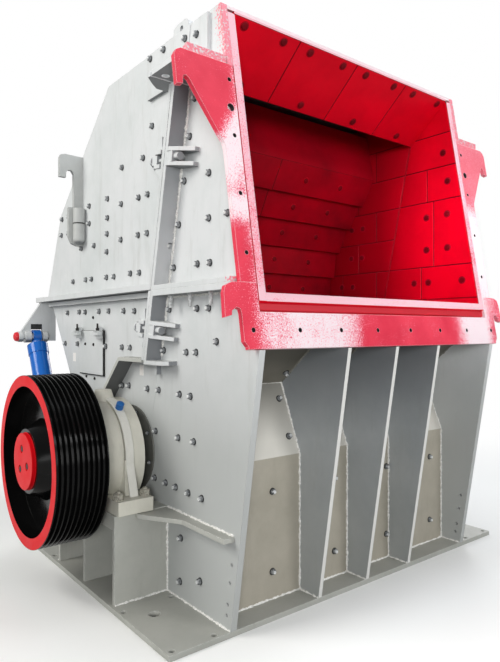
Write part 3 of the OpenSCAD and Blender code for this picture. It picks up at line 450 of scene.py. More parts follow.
SIDES = ((-1, "left"), (1, "right"))
BASE_TOP, FRONT_Y, BEND_Z, RIB_FRONT_Y = 0.030, -0.952, 0.883, -1.112
RIB_X, RIB_HALF = 0.435, 0.014
CHUTE_FOOT, CHUTE_SLOPE, CHUTE_TOP = (-0.776, 1.316), 1.19, 1.553
CHUTE_END = (CHUTE_FOOT[0] - CHUTE_SLOPE * (CHUTE_TOP - CHUTE_FOOT[1]), CHUTE_TOP)
bay_faces = [x + half for x in (-RIB_X, 0, RIB_X) for half in (-RIB_HALF, RIB_HALF)]
bay_faces += [-WALL_IN, WALL_IN]
bays = list(zip(sorted(bay_faces)[::2], sorted(bay_faces)[1::2]))
weld("front_bay_welds", "frame",
     [[(x, FRONT_Y, BASE_TOP), (x, FRONT_Y, BEND_Z), (x, *CHUTE_FOOT)] for x in bay_faces]
     + [[(x, FRONT_Y, BASE_TOP), (x, RIB_FRONT_Y, BASE_TOP)] for x in bay_faces]
     + [[(x, FRONT_Y, BASE_TOP) for x in bay] for bay in bays])
weld("chute_welds", "frame", [[(x, *CHUTE_FOOT), (x, *CHUTE_END)] for x in bay_faces],
     finish=shaded_bead_paint)
weld("front_bay_seams", "frame", [[(x, *CHUTE_FOOT) for x in bay] for bay in bays],
     bead_radius=0.004, wobble=0.0008)
PEDESTAL_Y, PEDESTAL_X, LEVEL_TOP = 0.450, 1.467, 1.932
for hand, title in SIDES:
    out, beside = hand * WALL_OUT, hand * (WALL_OUT + 0.004)
    ledge = hand * PEDESTAL_X
    weld(f"wall_welds_{title}", "frame", [
        [(out, -1.110, BASE_TOP), (out, -0.452, BASE_TOP)],
        [(out, 0.452, BASE_TOP), (out, 1.090, BASE_TOP)],
        [(out, -PEDESTAL_Y, BASE_TOP), (out, -PEDESTAL_Y, 0.520)],
        [(out, PEDESTAL_Y, BASE_TOP), (out, PEDESTAL_Y, 0.470)],
        [(out, -PEDESTAL_Y, BASE_TOP), (ledge, -PEDESTAL_Y, BASE_TOP)],
        [(out, PEDESTAL_Y, BASE_TOP), (ledge, PEDESTAL_Y, BASE_TOP)],
        [(out, -1.148, 0.553), (out, -0.452, 0.553)],
        [(out, feed_y(1.86), 1.862), (out, joint_y(1.862), 1.862)],
        [(out, feed_y(1.93) + 0.01, LEVEL_TOP), (out, joint_y(LEVEL_TOP), LEVEL_TOP)],
        [(out, -1.045, 3.129), (out, seam_y(3.128) - 0.02, 3.129)]], bead_radius=0.0090)
    weld(f"inclined_flange_weld_{title}", "frame", [
        [(beside, joint_y(z) - 0.004, z) for z in heights]
        for heights in ((1.936, 2.5, 3.09), (1.49, 1.860))], wobble=0.002)
    rear = seam_y(0) + 0.005 + FLANGE_THICK
    weld(f"opening_housing_welds_{title}", "rear_frame", [
        [(out, rear - JOINT_LEAN * z, z) for z in (1.95, 3.09)],
        [(out, rear - JOINT_LEAN * 1.937, 1.937), (out, 1.52, 1.937)]], bead_radius=0.0090)
weld("flange_weld", "frame", [[(hand * 1.110, feed_y(z), z) for z in (3.09, 1.935)]
                              for hand, _ in SIDES], bead_radius=0.005)


# Studs and nuts -----------------------------------------------------------------
# Liners are held by studs through the walls: plain steel hex nuts on washers, some
# 24 mm, with the stud's end standing out, over-sprayed with grey.
def nut_tree():
    """Geometry Nodes: one stud with its washer and nut on each point, along its 'way'."""
    tree, given = bare_tree("studs with nuts", {
        "Across corners": 0.0350, "Nut height": 0.016, "Stud radius": 0.0110,
        "Stud end": 0.008, "Washer radius": 0.0215, "Washer thickness": 0.003},
        {"Sides": 6, "Seed": 1}, ["Washer finish", "Nut finish", "Stud finish"])

    def lift(shape, height):
        """Moves a shape up."""
        rise = add(tree, "ShaderNodeCombineXYZ", {"Z": height})
        return add(tree, "GeometryNodeTransform", {"Geometry": shape, "Translation": rise})

    half, half_washer, half_nut = [
        add(tree, "ShaderNodeMath", {0: given[name], 1: 0.5}, operation="MULTIPLY")
        for name in ("Across corners", "Washer thickness", "Nut height")]
    middle, top = [add(tree, "ShaderNodeMath", {0: given["Washer thickness"], 1: height})
                   for height in (half_nut, given["Nut height"])]
    length = add(tree, "ShaderNodeMath", {0: top, 1: given["Stud end"]})
    wide, narrow, deep, tip = [
        add(tree, "ShaderNodeMath", {0: size, 1: part}, operation="MULTIPLY")
        for size, part in ((half, 0.88), (half, 0.72), (half, 0.12),
                           (given["Stud radius"], 0.86))]
    washer = add(tree, "GeometryNodeMeshCylinder", {
        "Vertices": 16, "Radius": given["Washer radius"], "Depth": given["Washer thickness"]})
    hexagon = add(tree, "GeometryNodeMeshCylinder", {
        "Vertices": given["Sides"], "Radius": half, "Depth": given["Nut height"]})
    crown = add(tree, "GeometryNodeMeshCone", {
        "Vertices": 12, "Radius Bottom": wide, "Radius Top": narrow, "Depth": deep})
    stud = add(tree, "GeometryNodeMeshCone", {
        "Vertices": 12, "Radius Bottom": given["Stud radius"], "Radius Top": tip,
        "Depth": length})
    nut = add(tree, "GeometryNodeJoinGeometry")
    for shape in (lift(hexagon, middle), lift(crown, top)):
        feed(nut, {0: shape})
    way = add(tree, "GeometryNodeInputNamedAttribute", {"Name": "way"}, data_type="FLOAT_VECTOR")
    upright = add(tree, "FunctionNodeAlignRotationToVector", {"Vector": way}, axis="Z")
    spin = add(tree, "FunctionNodeRandomValue", {2: 0.0, 3: 6.28, 8: given["Seed"]},
               data_type="FLOAT")
    spun = add(tree, "FunctionNodeAxisAngleToRotation", {"Axis": (0, 0, 1), "Angle": spin})
    turned = add(tree, "FunctionNodeRotateRotation", {0: upright, 1: spun},
                 rotation_space="LOCAL")
    out = add(tree, "GeometryNodeJoinGeometry")
    for shape, finish in ((lift(washer, half_washer), "Washer finish"), (nut, "Nut finish"),
                          (stud, "Stud finish")):
        placed = add(tree, "GeometryNodeInstanceOnPoints", {
            "Points": given["Points"], "Instance": shape, "Rotation": turned})
        feed(out, {0: realised(tree, placed, given[finish])})
    add(tree, "NodeGroupOutput", {0: out})
    return tree


# the washers are blackened, and their near black also stands for the shade round each nut, as
# painted shade
dark_washer_and_shade_steel = bare_steel("blackened washer, also painted shade", "#232425", "#343536", 0.5, 0.2)
nut_steel = bare_steel("oiled steel nut", "#9da0a2", "#55585b", 0.36, 0.2)
stud_steel = bare_steel("cut stud end", "#f4f5f4", "#c3c6c7", 0.34, 0.1)
nuts_grow = nut_tree()


def bolt_up(title, body, places, finish=None, **inputs):
    """Studs with nuts at (point, way out) in metres; finish is one for all their parts."""
    mesh = bpy.data.meshes.new(title)
    mesh.from_pydata([point for point, _ in places], [], [])
    way = mesh.attributes.new("way", "FLOAT_VECTOR", "POINT")
    for item, (_, out) in zip(way.data, places):
        item.vector = Vector(out).normalized()
    finishes = {"washer_finish": finish or dark_washer_and_shade_steel, "nut_finish": finish or nut_steel,
                "stud_finish": finish or stud_steel}
    grow(title, body, mesh, nuts_grow, {**finishes, **inputs})


def on_side(x, way, spots):
    """Bolt places on an upright side face, from (y, z) in millimetres."""
    return [((x, y / 1000, z / 1000), (way, 0, 0)) for y, z in spots]


REAR_SIDE_NUTS = (
    (-136, 2805), (177, 2809), (418, 2630), (751, 2631), (191, 2553), (-73, 2552),
    (-198, 2551), (418, 2488), (751, 2493), (425, 2371), (197, 2300), (-64, 2299),
    (-189, 2296), (659, 2310), (909, 2315), (429, 2238), (1077, 2058), (819, 2057),
    (707, 2054), (434, 2049), (311, 2045), (49, 2048), (-82, 2043), (-258, 2985),
    (1326, 2610), (1175, 2612), (1341, 2475), (1181, 2471))
FRONT_BOX_NUTS = (
    (-767, 3009), (-712, 2800), (-652, 2548), (-590, 2294), (-530, 2039), (-912, 2543),
    (-910, 2288), (-1089, 2289), (-794, 2039), (-922, 2035))
LOWER_FRONT_NUTS = (
    (-478, 1784), (-790, 1781), (-911, 1780), (-986, 1591), (-674, 1523), (-779, 1526),
    (-409, 1528), (-598, 1267), (-719, 1265), (-344, 1272), (-196, 1270), (-304, 1005),
    (-582, 1001), (-755, 1002), (-293, 701), (-431, 697), (-552, 695), (-695, 690),
    (-838, 688), (-611, 399), (-601, 134), (-821, 207))
LOWER_REAR_NUTS = (
    (71, 1272), (173, 1264), (1198, 1803), (947, 1803), (828, 1800), (566, 1799),
    (395, 1797), (150, 1792), (-12, 1786), (1251, 1545), (983, 1546), (448, 1536),
    (177, 1535), (55, 1535))
for hand, title in SIDES:
    for part, body, spots in (("rear_side", "rear_frame", REAR_SIDE_NUTS),
                              ("front_box", "frame", FRONT_BOX_NUTS),
                              ("lower_front", "frame", LOWER_FRONT_NUTS),
                              ("lower_rear", "frame", LOWER_REAR_NUTS)):
        bolt_up(f"{part}_nuts_{title}", body, on_side(hand * WALL_OUT, hand, spots),
                seed=len(spots))

# the front wall's liners: two rows on the upright wall, one on the slope, three above
SLOPE, SLOPE_OUT, CHUTE_UNDER = 0.4065, (0, -0.926, 0.377), (0, -0.643, -0.766)
bolt_up("front_wall_nuts", "frame",
        [((x, FRONT_Y, z), (0, -1, 0)) for x in (-0.676, -0.139, 0.393, 0.914)
         for z in (0.197, 0.681)]
        + [((-0.505, FRONT_Y + (z - BEND_Z) * SLOPE, z), SLOPE_OUT) for z in (0.989, 1.217)]
        + [((x, -0.860, 1.387), CHUTE_UNDER) for x in (-0.485, 0.04, 0.57)]
        + [((-1.035, FRONT_Y, 0.312), (0, -1, 0))], seed=5)

# the tie plates at the top of the inclined joint
TIE_X = 1.134
for hand, title in SIDES:
    bolt_up(f"front_tie_nut_{title}", "frame",
            on_side(hand * TIE_X, hand, [(-823, 3352)]), seed=2)
    bolt_up(f"rear_tie_nuts_{title}", "rear_frame",
            on_side(hand * TIE_X, hand, [(-699, 3376), (-449, 3404), (-279, 3407)]), seed=3)

# long studs that hang under the level flange beside the feed box, sprayed with the walls
hanging = bare_steel("sprayed long stud", "#c9cccc", "#9b9d9d", 0.5, 0.0)
for hand, title in SIDES:
    bolt_up(f"level_flange_studs_{title}", "frame",
            [((hand * 1.169, y, 1.865), (0, 0, -1)) for y in (-0.589, -0.805, -1.013)],
            hanging, across_corners=0.031, nut_height=0.012, stud_radius=0.0125,
            stud_end=0.060, washer_radius=0.019, seed=4)


# Red wear parts -----------------------------------------------------------------
# Liner plates of wear steel brushed with deep red primer. Each wall is covered with
# single plates that meet with open joints and are held by countersunk bolts; their
# front edges caught the white and pink overspray of the flange.
def graded(tree, value, low, high, stops):
    """A number read off a line of (place, number) stops between low and high."""
    along = add(tree, "ShaderNodeMapRange", {"Value": value, 1: low, 2: high})
    line = add(tree, "ShaderNodeValToRGB", {0: along})
    marks = line.color_ramp.elements
    while len(marks) < len(stops):
        marks.new(0.5)
    for mark, (spot, level) in zip(marks, sorted(stops)):
        mark.position = (spot - low) / (high - low)
        mark.color = (level, level, level, 1)
    return line


def oversprayed(tree, place, share, below, palest="#f7e4e9"):
    """Pale pink overspray over a colour; share says how much of it has landed."""
    fine, broad = [add(tree, "ShaderNodeTexNoise", {"Vector": place, "Scale": scale,
                                                    "Detail": detail})
                   for scale, detail in ((170.0, 3.0), (7.0, 4.0))]
    drift = add(tree, "ShaderNodeMath", {0: broad, 1: 0.6}, operation="MULTIPLY")
    drift = add(tree, "ShaderNodeMath", {0: drift, 1: -0.80})
    landed = add(tree, "ShaderNodeMath", {0: share, 1: drift})
    landed = add(tree, "ShaderNodeMath", {0: landed, 1: 0.62}, operation="MULTIPLY")
    landed = add(tree, "ShaderNodeMath", {0: fine, 1: landed})
    mask = add(tree, "ShaderNodeMapRange", {"Value": landed, 1: 0.38, 2: 0.64})
    pink = layer(tree, below, "#f58ea2", mask, 0.0, 0.55)
    return layer(tree, pink, palest, mask, 0.5, 1.0)


def brushed_primer(title, coat_shade, thin, scuff, satin=0.42, dusted_front=False,
                   deep=None):
    """Red primer on wear plate, each plate a shade of its own; deep is painted shade that
    darkens the plates far inside."""
    material, tree, place = primed(title)
    clouds = add(tree, "ShaderNodeTexNoise", {"Vector": place, "Scale": 2.6, "Detail": 6.0,
                                              "Roughness": 0.6})
    shape = add(tree, "ShaderNodeNewGeometry").outputs
    own = add(tree, "ShaderNodeMapRange", {"Value": shape["Random Per Island"], 3: -0.10,
                                           4: 0.10})
    varied = add(tree, "ShaderNodeMath", {0: clouds, 1: own})
    coated = layer(tree, coat_shade, thin, varied, 0.40, 0.72, 0.7)
    scratch = add(tree, "ShaderNodeTexNoise", {"Vector": place, "Scale": 26.0, "Detail": 8.0,
                                               "Roughness": 0.75})
    coated = layer(tree, coated, scuff, scratch, 0.66, 0.80, 0.35)
    spot = add(tree, "ShaderNodeSeparateXYZ", {0: place}).outputs
    # painted shade: the plates darken towards the rear, far inside the housing
    if deep:
        far = graded(tree, spot["Y"], -1.2, 0.4, [
            (-1.2, 0.0), (-0.85, 0.05), (-0.62, 0.45), (-0.40, 0.85), (0.4, 1.0)])
        coated = add(tree, "ShaderNodeMix", {0: far, 6: coated, 7: deep}, data_type="RGBA")
    if dusted_front:
        # the plates' front edges, in line with the flange
        ahead = add(tree, "ShaderNodeVectorMath", {0: shape["Normal"], 1: FEED_OUT},
                    operation="DOT_PRODUCT")
        share = graded(tree, spot["Z"], 1.7, 3.5, [
            (1.70, 0.9), (1.86, 0.9), (1.93, 0.60), (2.30, 0.62), (2.60, 0.72),
            (2.90, 0.78), (3.20, 0.80), (3.40, 0.95)])
        dusted = oversprayed(tree, place, share, coated, "#f3c3cd")
        front = add(tree, "ShaderNodeMath", {0: ahead, 1: 0.97}, operation="GREATER_THAN")
        coated = add(tree, "ShaderNodeMix", {0: front, 6: coated, 7: dusted},
                     data_type="RGBA")
    soft = add(tree, "ShaderNodeBevel", {"Radius": 0.004}, samples=4)
    skin = add(tree, "ShaderNodeBump", {"Height": scratch, "Distance": 0.003,
                                        "Strength": 0.35, "Normal": soft})
    return finished(material, coated, clouds, (satin - 0.08, satin + 0.1), skin,
                    {"Specular IOR Level": 0.12})


RED_COAT, RED_DEEP_SHADE = ("#ee0022", "#cc001b", "#e83a54"), "#8c0012"
liner_red = brushed_primer("red primer on liners", *RED_COAT, deep=RED_DEEP_SHADE)
edge_red = brushed_primer("red primer with dusted edges", *RED_COAT, dusted_front=True,
                          deep=RED_DEEP_SHADE)
apron_red = brushed_primer("darker red primer on aprons", "#a20018", "#6a0010", "#b92238", 0.5)
joint_shade = brushed_primer("painted shade in the joints", "#6e0711", "#4c050c", "#7a0c18", 0.8)
coat(edge_red, "chute_liner", "lower_side_liners", "feed_side_liners",
     "feed_ceiling_liner")
coat(liner_red, "rear_side_liners")
coat(apron_red, "first_apron", "second_apron")

# plates stand proud of a thin dark film, painted shade that shows in the joints between
# them; cut-offs with less than LEAST_PLATE square metres are left out
PLATE_GAP, PLATE_PROUD, PLATE_CHAMFER, LEAST_PLATE = 0.008, 0.004, 0.002, 0.004
FILM_INSET, FILM_FOOT, FILM_HIGH = 0.001, 0.0002, 0.0010


def drawn(title, shape, *finishes):
    """A drawn shape as a mesh with its finishes."""
    mesh = bpy.data.meshes.new(title)
    shape.to_mesh(mesh)
    shape.free()
    for finish in finishes:
        mesh.materials.append(finish)
    return mesh


def plates_over(title, body, node, facing, reach, cuts, finish=liner_red):
    """Single plates on those faces of a CAD node that look one way and lie within reach,
    measured that way. cuts are (axis, place, bounds), where bounds are None or limit the
    cut to the faces whose middles lie within (axis, low, high)."""
    facing = Vector(facing).normalized()
    source = bmesh.new()
    source.from_mesh(nodes[node].data)
    bmesh.ops.remove_doubles(source, verts=source.verts, dist=1e-5)
    other = [f for f in source.faces if f.normal.dot(facing) < 0.999
             or not reach[0] < f.calc_center_median().dot(facing) < reach[1]]
    bmesh.ops.delete(source, geom=other, context="FACES")
    bmesh.ops.dissolve_limit(source, angle_limit=0.02, verts=source.verts,
                             edges=source.edges)
    out = bmesh.new()

    def slab(cell, inset, high, chamfer, slot):
        """One closed plate over a group of faces, holes and all."""
        pull, border = {}, []
        for face in cell:
            for loop in face.loops:
                if sum(beside in cell for beside in loop.edge.link_faces) == 1:
                    ends = (loop.vert, loop.link_loop_next.vert)
                    border.append(ends)
                    inward = facing.cross(ends[1].co - ends[0].co).normalized()
                    for end in ends:
                        pull.setdefault(end, []).append(inward)

        def ring(inward, height):
            """The cell's corners drawn in from its border, at a height."""
            placed = {}
            for vert in dict.fromkeys(v for face in cell for v in face.verts):
                ways = pull.get(vert, ())
                shift = Vector()
                if len(ways) > 1:
                    shift = (ways[0] + ways[1]) * (inward / max(1 + ways[0].dot(ways[1]), 0.2))
                placed[vert] = out.verts.new(vert.co + shift + facing * height)
            return placed

        rings = [ring(inset, FILM_FOOT), ring(inset, high - chamfer)]
        if chamfer:
            rings.append(ring(inset + chamfer, high))
        for low, top in zip(rings, rings[1:]):
            for here, after in border:
                out.faces.new((low[here], low[after], top[after],
                               top[here])).material_index = slot
        for face in cell:
            out.faces.new([rings[-1][v] for v in face.verts]).material_index = slot
            out.faces.new([rings[0][v] for v in face.verts][::-1]).material_index = slot

    def cells():
        """The groups of faces that no cut parts; dicts keep their order from run to run."""
        left = dict.fromkeys(source.faces)
        while left:
            cell, edge_of = {}, [left.popitem()[0]]
            while edge_of:
                face = edge_of.pop()
                cell[face] = True
                for edge in face.edges:
                    if not edge.seam:
                        for beside in edge.link_faces:
                            if beside in left:
                                del left[beside]
                                edge_of.append(beside)
            yield cell

    for cell in cells():
        slab(cell, FILM_INSET, FILM_HIGH, 0, 1)
    for axis, spot, bounds in cuts:
        parts = [face for face in source.faces if bounds is None or bounds[1]
                 < face.calc_center_median()["xyz".index(bounds[0])] < bounds[2]]
        parts = dict.fromkeys(part for face in parts
                              for part in (face, *face.edges, *face.verts))
        across = Vector([axis == name for name in "xyz"])
        cut = bmesh.ops.bisect_plane(source, geom=list(parts), plane_co=across * spot,
                                     plane_no=across)
        for edge in cut["geom_cut"]:
            if isinstance(edge, bmesh.types.BMEdge):
                edge.seam = True
    for cell in cells():
        if sum(face.calc_area() for face in cell) > LEAST_PLATE:
            slab(cell, PLATE_GAP / 2, PLATE_PROUD, PLATE_CHAMFER, 0)
    source.free()
    fit(title, body, drawn(title, out, finish, joint_shade))


bolt_dark = brushed_primer("worn bolt head in a liner", "#780614", "#4e050e", "#8c162a", 0.5)
bolt_ring = brushed_primer("primer round a liner bolt", "#b2001b", "#8a0014", "#e0405a")


def liner_bolts(title, body, places):
    """Flat heads, 50 mm across, a little below their dished rims."""
    bolt_up(title, body, places, bolt_dark, across_corners=0.044, sides=12,
            nut_height=0.0035, stud_radius=0.010, stud_end=0.0006, washer_radius=0.029,
            washer_thickness=0.0022, washer_finish=bolt_ring, seed=9)


INNER_REACH, PLATE_X, COURSE = (-1.03, -1.01), 1.020 - PLATE_PROUD, 0.257
feed_cuts = [("z", z, None) for z in (1.900, 2.157, 2.671, 2.928, 3.185)]
feed_cuts += [("y", -0.805, ("z", 1.900, 2.157)), ("y", -0.920, ("z", 2.157, 2.671)),
              ("y", -0.860, ("z", 2.671, 2.928))]
rear_courses = (1.900, 2.157, 2.414, 2.671, 2.928, 3.185)
rear_cuts = [("z", z, None) for z in rear_courses[1:]]
for k, low in enumerate(rear_courses):
    rear_cuts += [("y", y + 0.2 * (k % 2), ("z", low, low + COURSE))
                  for y in (-0.35, 0.04, 0.43, 0.82)]
    rear_cuts.append(("y", 1.21, ("z", low, low + COURSE)))
low_cuts = [("z", z, None) for z in (0.62, 0.88, 1.14, 1.40, 1.66)]
low_cuts += [("y", y, None) for y in (-0.78, -0.39, 0.0, 0.39, 0.78, 1.17)]
FEED_SIDE_BOLTS = ((-1005, 3031), (-1045, 2805), (-1041, 2553), (-855, 2549), (-1044, 2293),
                   (-855, 2293), (-739, 2035), (-872, 2034), (-1168, 2034))
for hand, title in SIDES:
    for part, body, cuts in (("feed_side", "frame", feed_cuts),
                             ("rear_side", "rear_frame", rear_cuts),
                             ("lower_side", "frame", low_cuts)):
        plates_over(f"{part}_plates_{title}", body, f"{part}_liners", (-hand, 0, 0),
                    INNER_REACH, cuts)
    liner_bolts(f"feed_side_bolts_{title}", "frame",
                on_side(hand * PLATE_X, -hand, FEED_SIDE_BOLTS))
    liner_bolts(f"rear_side_bolts_{title}", "rear_frame", on_side(
        hand * PLATE_X, -hand, [spot for spot in REAR_SIDE_NUTS if spot[1] < 2900]))

# the ceiling slopes down to the rear; its plates run from front to rear
CEILING_FRONT, CEILING_REAR = (-1.0258, 3.425), (-0.703, 3.146)
ceiling_down = Vector((0, -279, -321)).normalized()
plates_over("feed_ceiling_plates", "frame", "feed_ceiling_liner", ceiling_down, (-9, 9),
            [("x", x, None) for x in (-0.508, 0.010, 0.528)])
ceiling_bolts = []
for y, row in ((-0.995, (-925, -626, -402, -104, 123, 423, 645, 945)),
               (-0.745, (-765, -250, 270, 775))):
    z = CEILING_FRONT[1] + ((y - CEILING_FRONT[0]) * (CEILING_REAR[1] - CEILING_FRONT[1])
                            / (CEILING_REAR[0] - CEILING_FRONT[0]))
    ceiling_bolts += [(Vector((x / 1000, y, z)) + ceiling_down * PLATE_PROUD, ceiling_down)
                      for x in row]
liner_bolts("feed_ceiling_bolts", "frame", ceiling_bolts)

# the aprons' rows, each a step of its own, split beside the middle
APRON_ROWS = ((-0.323, 2.951), (-0.165, 2.766), (-0.020, 2.583), (0.112, 2.382),
              (0.180, 2.147), (0.251, 1.918), (0.322, 1.689))
ROW_STEP = 0.042
apron_bolts = []
for k, (upper, lower) in enumerate(zip(APRON_ROWS, APRON_ROWS[1:])):
    along = Vector((0, lower[0] - upper[0], lower[1] - upper[1]))
    out_of_row = Vector((0, along.z, -along.y)).normalized()
    tilt = math.atan2(ROW_STEP, along.length)
    along.normalize()
    facing = Vector([out_of_row[i] * math.cos(tilt) - along[i] * math.sin(tilt)
                     for i in range(3)])
    middle = Vector((0, (upper[0] + lower[0]) / 2, (upper[1] + lower[1]) / 2))
    middle += out_of_row * ROW_STEP / 2
    level = middle.dot(facing)
    plates_over(f"apron_row_{k + 1}", "first_apron", "first_apron", facing,
                (level - 0.012, level + 0.012), [("x", -0.039, None)], finish=apron_red)
    spot = middle + facing * PLATE_PROUD
    apron_bolts += [((x, spot.y, spot.z), facing) for x in (-0.720, -0.330, 0.262, 0.655)]
liner_bolts("first_apron_bolts", "first_apron", apron_bolts)


# Flange -------------------------------------------------------------------------
# The feed flange is flame-cut plate, roller-painted raspberry red. White undercoat and
# pink overspray show through in patches along it, thick on the legs and the left half.
def flange_paint(title, upper):
    """Roller paint with overspray graded along the lower strip or up the legs."""
    material, tree, place = primed(title)
    spot = add(tree, "ShaderNodeSeparateXYZ", {0: place}).outputs
    rolled = add(tree, "ShaderNodeTexNoise", {"Vector": place, "Scale": 5.0, "Detail": 5.0})
    red_coat = layer(tree, "#e83b53", "#d92a45", rolled, 0.35, 0.68)
    if upper:
        # the hook's fade slopes: lower towards the hook, higher beside the opening
        lean = add(tree, "ShaderNodeMath", {0: spot["X"], 1: 1.14})
        lean = add(tree, "ShaderNodeMath", {0: lean, 1: -1.75}, operation="MULTIPLY")
        above = add(tree, "ShaderNodeMapRange", {"Value": spot["Z"], 1: 2.45, 2: 2.65})
        lean = add(tree, "ShaderNodeMath", {0: lean, 1: above}, operation="MULTIPLY")
        sloped = add(tree, "ShaderNodeMath", {0: spot["Z"], 1: lean})
        left = graded(tree, sloped, 1.85, 3.25, [
            (1.85, 0.05), (2.17, 0.08), (2.25, 0.70), (2.32, 0.95), (2.38, 0.62),
            (2.46, 0.68), (2.56, 0.95), (2.70, 0.90), (2.80, 0.42), (2.90, 0.05),
            (3.25, 0.05)])
        right = graded(tree, spot["Z"], 1.85, 3.15, [
            (1.85, 0.85), (2.05, 0.95), (2.35, 1.0), (2.50, 0.85), (2.62, 0.5),
            (2.80, 0.30), (3.00, 0.26), (3.11, 0.55)])
        which = add(tree, "ShaderNodeMath", {0: spot["X"], 1: 0.0}, operation="GREATER_THAN")
        share = add(tree, "ShaderNodeMix", {0: which, 2: left, 3: right}, data_type="FLOAT")
        inner = graded(tree, spot["X"], -1.2, -1.05, [(-1.2, 0.0), (-1.15, 0.0), (-1.08, 0.42)])
        share = add(tree, "ShaderNodeMath", {0: share, 1: inner}, operation="MAXIMUM")
    else:
        share = graded(tree, spot["X"], -1.5, 1.5, [
            (-1.50, 0.05), (-1.16, 0.10), (-1.08, 0.42), (-0.98, 0.66), (-0.80, 0.80),
            (-0.48, 0.78), (-0.34, 0.48), (-0.26, 0.14), (0.62, 0.10), (0.74, 0.50),
            (0.86, 0.92), (1.05, 0.92), (1.14, 0.50), (1.30, 0.30), (1.50, 0.40)])
        crest = graded(tree, spot["Z"], 1.74, 1.84, [(1.74, 1.0), (1.775, 1.0), (1.795, 0.1)])
        width = add(tree, "ShaderNodeMath", {0: spot["X"]}, operation="ABSOLUTE")
        leg = add(tree, "ShaderNodeMath", {0: width, 1: 1.03}, operation="GREATER_THAN")
        keep = add(tree, "ShaderNodeMath", {0: crest, 1: leg}, operation="MAXIMUM")
        share = add(tree, "ShaderNodeMath", {0: share, 1: keep}, operation="MULTIPLY")
    sprayed = oversprayed(tree, place, share, red_coat)
    if upper:
        # the right hook is a flat dusky pink
        high = add(tree, "ShaderNodeMapRange", {"Value": spot["Z"], 1: 2.50, 2: 2.72, 4: 0.8})
        high = add(tree, "ShaderNodeMath", {0: high, 1: which}, operation="MULTIPLY")
        sprayed = add(tree, "ShaderNodeMix", {0: high, 6: sprayed, 7: "#e2707f"},
                      data_type="RGBA")
    # cut edges, left pale pink
    soft, rim = rounded(tree, 0.005, 0.8)
    coated = add(tree, "ShaderNodeMix", {0: rim, 6: sprayed, 7: "#fbd9df"}, data_type="RGBA")
    roller = add(tree, "ShaderNodeTexNoise", {"Vector": place, "Scale": 120.0, "Detail": 2.0})
    skin = add(tree, "ShaderNodeBump", {"Height": roller, "Distance": 0.0015, "Strength": 0.4,
                                        "Normal": soft})
    return finished(material, coated, rolled, (0.38, 0.52), skin, {"Specular IOR Level": 0.3})


coat(flange_paint("raspberry flange paint, lower", False), "feed_flange_lower")
coat(flange_paint("raspberry flange paint, upper", True), "feed_flange_upper")


def skin_rings(shape, rings):
    """Joins each ring of points to the next, and the last one to the first."""
    for low, high in zip(rings, rings[1:] + rings[:1]):
        for k in range(len(low)):
            n = (k + 1) % len(low)
            shape.faces.new((low[k], low[n], high[n], high[k]))


# the flange's bolt holes stay open; a dark film lines their bores
FEED_HOLES = [(i * 0.3225, 1.655, 0.0130) for i in (-3.5, -2.5, -1.5, -0.5, 0.5, 1.5, 2.5, 3.5)]
FEED_HOLES += [(hand * x, z, radius) for hand, _ in SIDES for x, z, radius in (
    (1.108, 3.007, 0.012), (1.118, 2.846, 0.022), (1.113, 2.690, 0.012),
    (1.116, 2.373, 0.012), (1.119, 2.056, 0.012))]
FILM_FROM, FILM_TO = 0.0010, 0.0290
outward, sideways = Vector(FEED_OUT), Vector((1, 0, 0))
upward = outward.cross(sideways)
shape = bmesh.new()
for x, z, radius in FEED_HOLES:
    front = Vector((x, feed_y(z, 0), z))
    skin_rings(shape, [[
        shape.verts.new(front - depth * outward + (radius - film) * (
            math.cos(math.pi * k / 16) * sideways + math.sin(math.pi * k / 16) * upward))
        for k in range(32)]
        for depth, film in ((FILM_FROM, 0.0001), (FILM_TO, 0.0001), (FILM_TO, 0.0004),
                            (FILM_FROM, 0.0004))])
bmesh.ops.recalc_face_normals(shape, faces=shape.faces)
fit("feed_flange_bores", "frame", drawn(
    "feed_flange_bores", shape,
    bare_steel("dark film in a bolt hole", "#1a1416", "#120e10", 0.6, 0.0)))


# Rotor and drive ----------------------------------------------------------------
# Dark primed discs with as-cast blow bars on a turned steel shaft; the belt pulley and
# its taper hub are brushed with glossy enamel, black and red.
coat(sprayed_plate("dark rotor primer", "#5a5b5c", "#4b4c4d", "#7b7468", "#86888a"),
     "rotor_discs")
coat(bare_steel("as-cast blow bar iron", "#6d6f70", "#4b4a48", 0.55, 0.7, 30.0), "blow_bars")
coat(bare_steel("turned shaft steel", "#b4b7b9", "#909497", 0.28, 1.0, 60.0),
     "rotor_shaft", "apron_shafts")


def enamel(title, shade, gloss, plain=None):
    """Glossy machine enamel, brushed on."""
    material, tree, place = primed(title)
    sweep = add(tree, "ShaderNodeTexNoise", {"Vector": place, "Scale": 11.0, "Detail": 5.0})
    soft = add(tree, "ShaderNodeBevel", {"Radius": 0.003}, samples=4)
    skin = add(tree, "ShaderNodeBump", {"Height": sweep, "Distance": 0.002, "Strength": 0.2,
                                        "Normal": soft})
    return finished(material, shade, sweep, (gloss - 0.04, gloss + 0.1), skin, plain)


PULLEY_FACE, AXIS_Z, RIM_IN, RIM_OUT = -1.840, 0.857, 0.455, 0.5205
coat(enamel("black pulley enamel", "#0b0b0b", 0.12, {"Specular IOR Level": 0.12}), "pulley")
# thin and dusty, so it hardly mirrors the pale floor
hub_red = enamel("red hub enamel", "#de101b", 0.34, {"IOR": 1.15})
coat(hub_red, "pulley_hub")


def around(radius, degrees):
    """(y, z) of places round the rotor's axis."""
    return [(radius * math.cos(math.radians(a)), AXIS_Z + radius * math.sin(math.radians(a)))
            for a in degrees]


